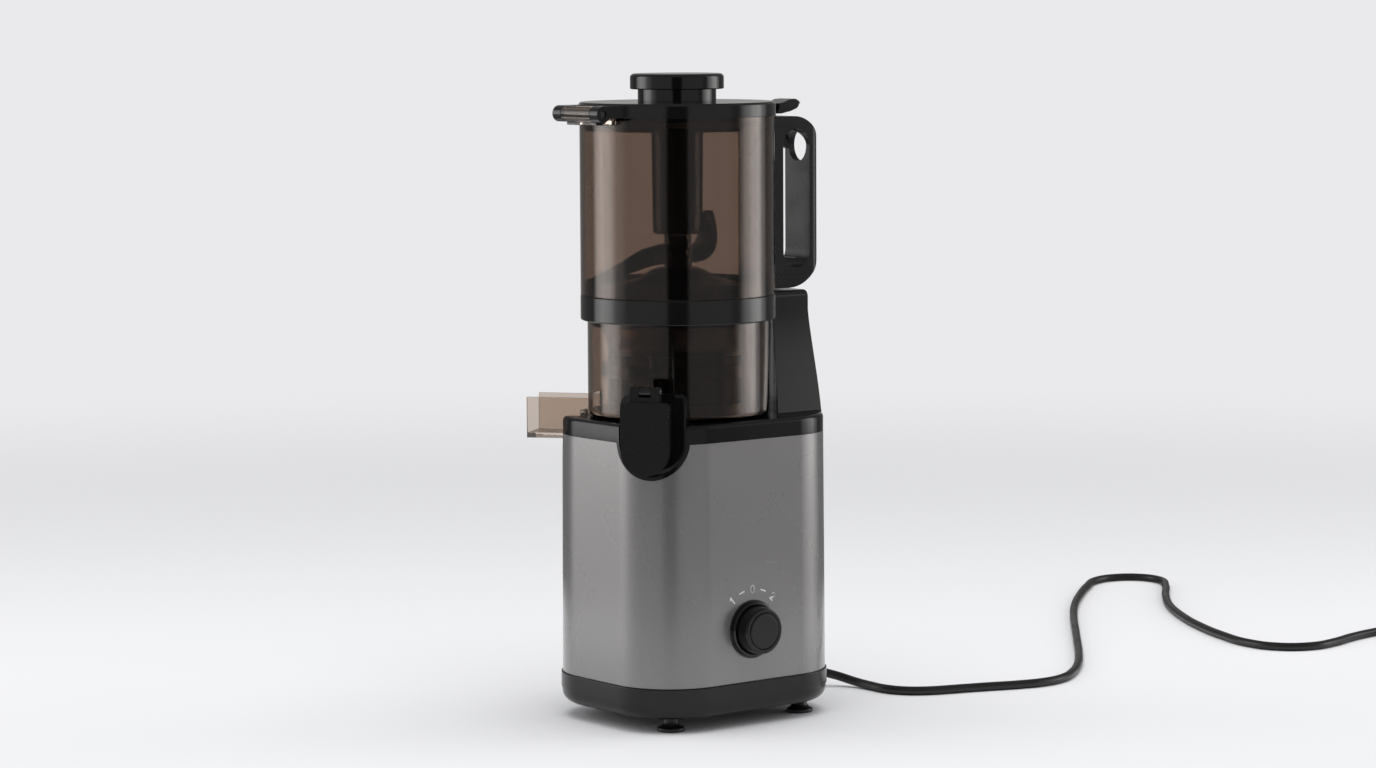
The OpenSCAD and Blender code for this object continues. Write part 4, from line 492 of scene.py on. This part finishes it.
def pale_surface(name, colour, shown):
    """Diffuse near the object and a plain pale tone further off; mirrors see it near the object only."""
    m = bpy.data.materials.new(name)
    m.use_nodes = True
    tree = m.node_tree
    tree.nodes.clear()
    out = tree.nodes.new("ShaderNodeOutputMaterial")
    diffuse = tree.nodes.new("ShaderNodeBsdfDiffuse")
    diffuse.inputs["Color"].default_value = (*colour, 1)
    glow = tree.nodes.new("ShaderNodeEmission")
    glow.inputs["Color"].default_value = (*shown, 1)
    open_air = tree.nodes.new("ShaderNodeBsdfTransparent")
    coord = tree.nodes.new("ShaderNodeTexCoord")
    length = tree.nodes.new("ShaderNodeVectorMath")
    length.operation = "LENGTH"
    tree.links.new(coord.outputs["Object"], length.inputs[0])
    fade = tree.nodes.new("ShaderNodeMapRange")
    fade.inputs["From Min"].default_value = 0.5
    fade.inputs["From Max"].default_value = 2.4
    fade.interpolation_type = "SMOOTHSTEP"
    tree.links.new(length.outputs["Value"], fade.inputs["Value"])
    path = tree.nodes.new("ShaderNodeLightPath")
    mirror = mirror_ray(tree, path)
    seen = math_node(tree, "ADD", path.outputs["Is Camera Ray"], mirror)
    seen = math_node(tree, "ADD", seen, path.outputs["Is Transmission Ray"], clamp=True)
    both = math_node(tree, "MULTIPLY", fade.outputs["Result"], seen)
    mix = tree.nodes.new("ShaderNodeMixShader")
    tree.links.new(both, mix.inputs["Fac"])
    tree.links.new(diffuse.outputs[0], mix.inputs[1])
    tree.links.new(glow.outputs[0], mix.inputs[2])
    beyond = tree.nodes.new("ShaderNodeMapRange")
    beyond.inputs["From Min"].default_value = FLOOR_MIRROR_END - 0.12
    beyond.inputs["From Max"].default_value = FLOOR_MIRROR_END + 0.12
    beyond.interpolation_type = "SMOOTHSTEP"
    tree.links.new(length.outputs["Value"], beyond.inputs["Value"])
    last = tree.nodes.new("ShaderNodeMixShader")
    tree.links.new(math_node(tree, "MULTIPLY", beyond.outputs["Result"], mirror), last.inputs["Fac"])
    tree.links.new(mix.outputs[0], last.inputs[1])
    tree.links.new(open_air.outputs[0], last.inputs[2])
    tree.links.new(last.outputs[0], out.inputs["Surface"])
    return m


def make_floor():
    """Round floor; past its edge the world shows the same paper tone, so it serves from every side."""
    bm = bmesh.new()
    rings = []
    for radius in (0.6, 1.2, 2.4, FLOOR_EDGE):
        rings.append([bm.verts.new((radius * math.cos(2 * math.pi * i / 96),
                                    radius * math.sin(2 * math.pi * i / 96), 0)) for i in range(96)])
    bm.faces.new(rings[0])
    for inner, outer in zip(rings, rings[1:]):
        for i in range(96):
            j = (i + 1) % 96
            bm.faces.new((inner[i], outer[i], outer[j], inner[j]))
    mesh = bpy.data.meshes.new("studio_floor")
    bm.to_mesh(mesh)
    bm.free()
    obj = bpy.data.objects.new("studio_floor", mesh)
    bpy.context.scene.collection.objects.link(obj)
    mesh.materials.append(pale_surface("studio_paper", (0.80, 0.80, 0.81), PAPER_TONE))


def area_light(name, azimuth, distance, height, width, tall, power, aim=0.25):
    data = bpy.data.lights.new(name, "AREA")
    data.shape = "RECTANGLE"
    data.size, data.size_y = width, tall
    data.energy = power
    obj = bpy.data.objects.new(name, data)
    obj.visible_glossy = False
    bpy.context.scene.collection.objects.link(obj)
    place = direction(azimuth) * distance + Vector((0, 0, height))
    look = (Vector((0, 0, aim)) - place).normalized()
    obj.matrix_world = Matrix.Translation(place) @ look.to_track_quat("-Z", "Y").to_matrix().to_4x4()
    return obj


def make_world():
    world = bpy.data.worlds.new("Studio")
    world.use_nodes = True
    tree = world.node_tree
    diffuse = tree.nodes["Background"]
    out = tree.nodes["World Output"]
    diffuse.inputs["Color"].default_value = (0.92, 0.93, 0.95, 1)
    diffuse.inputs["Strength"].default_value = 0.50
    seen = tree.nodes.new("ShaderNodeBackground")
    seen.inputs["Color"].default_value = (*PAPER_TONE, 1)
    mirrored = tree.nodes.new("ShaderNodeBackground")
    mirrored.inputs["Color"].default_value = (1.0, 0.985, 0.975, 1)
    tree.links.new(studio_reflection(tree), mirrored.inputs["Strength"])
    path = tree.nodes.new("ShaderNodeLightPath")
    straight = math_node(tree, "LESS_THAN", path.outputs["Glossy Depth"], 0.5)
    through = math_node(tree, "MULTIPLY", path.outputs["Is Transmission Ray"], straight)
    either = math_node(tree, "MAXIMUM", path.outputs["Is Camera Ray"], through)
    first = tree.nodes.new("ShaderNodeMixShader")
    tree.links.new(mirror_ray(tree, path), first.inputs["Fac"])
    tree.links.new(diffuse.outputs[0], first.inputs[1])
    tree.links.new(mirrored.outputs[0], first.inputs[2])
    last = tree.nodes.new("ShaderNodeMixShader")
    tree.links.new(either, last.inputs["Fac"])
    tree.links.new(first.outputs[0], last.inputs[1])
    tree.links.new(seen.outputs[0], last.inputs[2])
    tree.links.new(last.outputs[0], out.inputs["Surface"])
    bpy.context.scene.world = world


make_floor()
make_world()
area_light("Softbox left", CAM_AZIMUTH - 95, 1.7, 0.75, 1.1, 1.6, 9)
area_light("Softbox right", CAM_AZIMUTH + 102, 1.7, 0.75, 1.1, 1.6, 9)
area_light("Softbox top", CAM_AZIMUTH, 0.3, 2.2, 2.0, 2.0, 33, 0.0)

bpy.context.scene.view_settings.view_transform = "Standard"
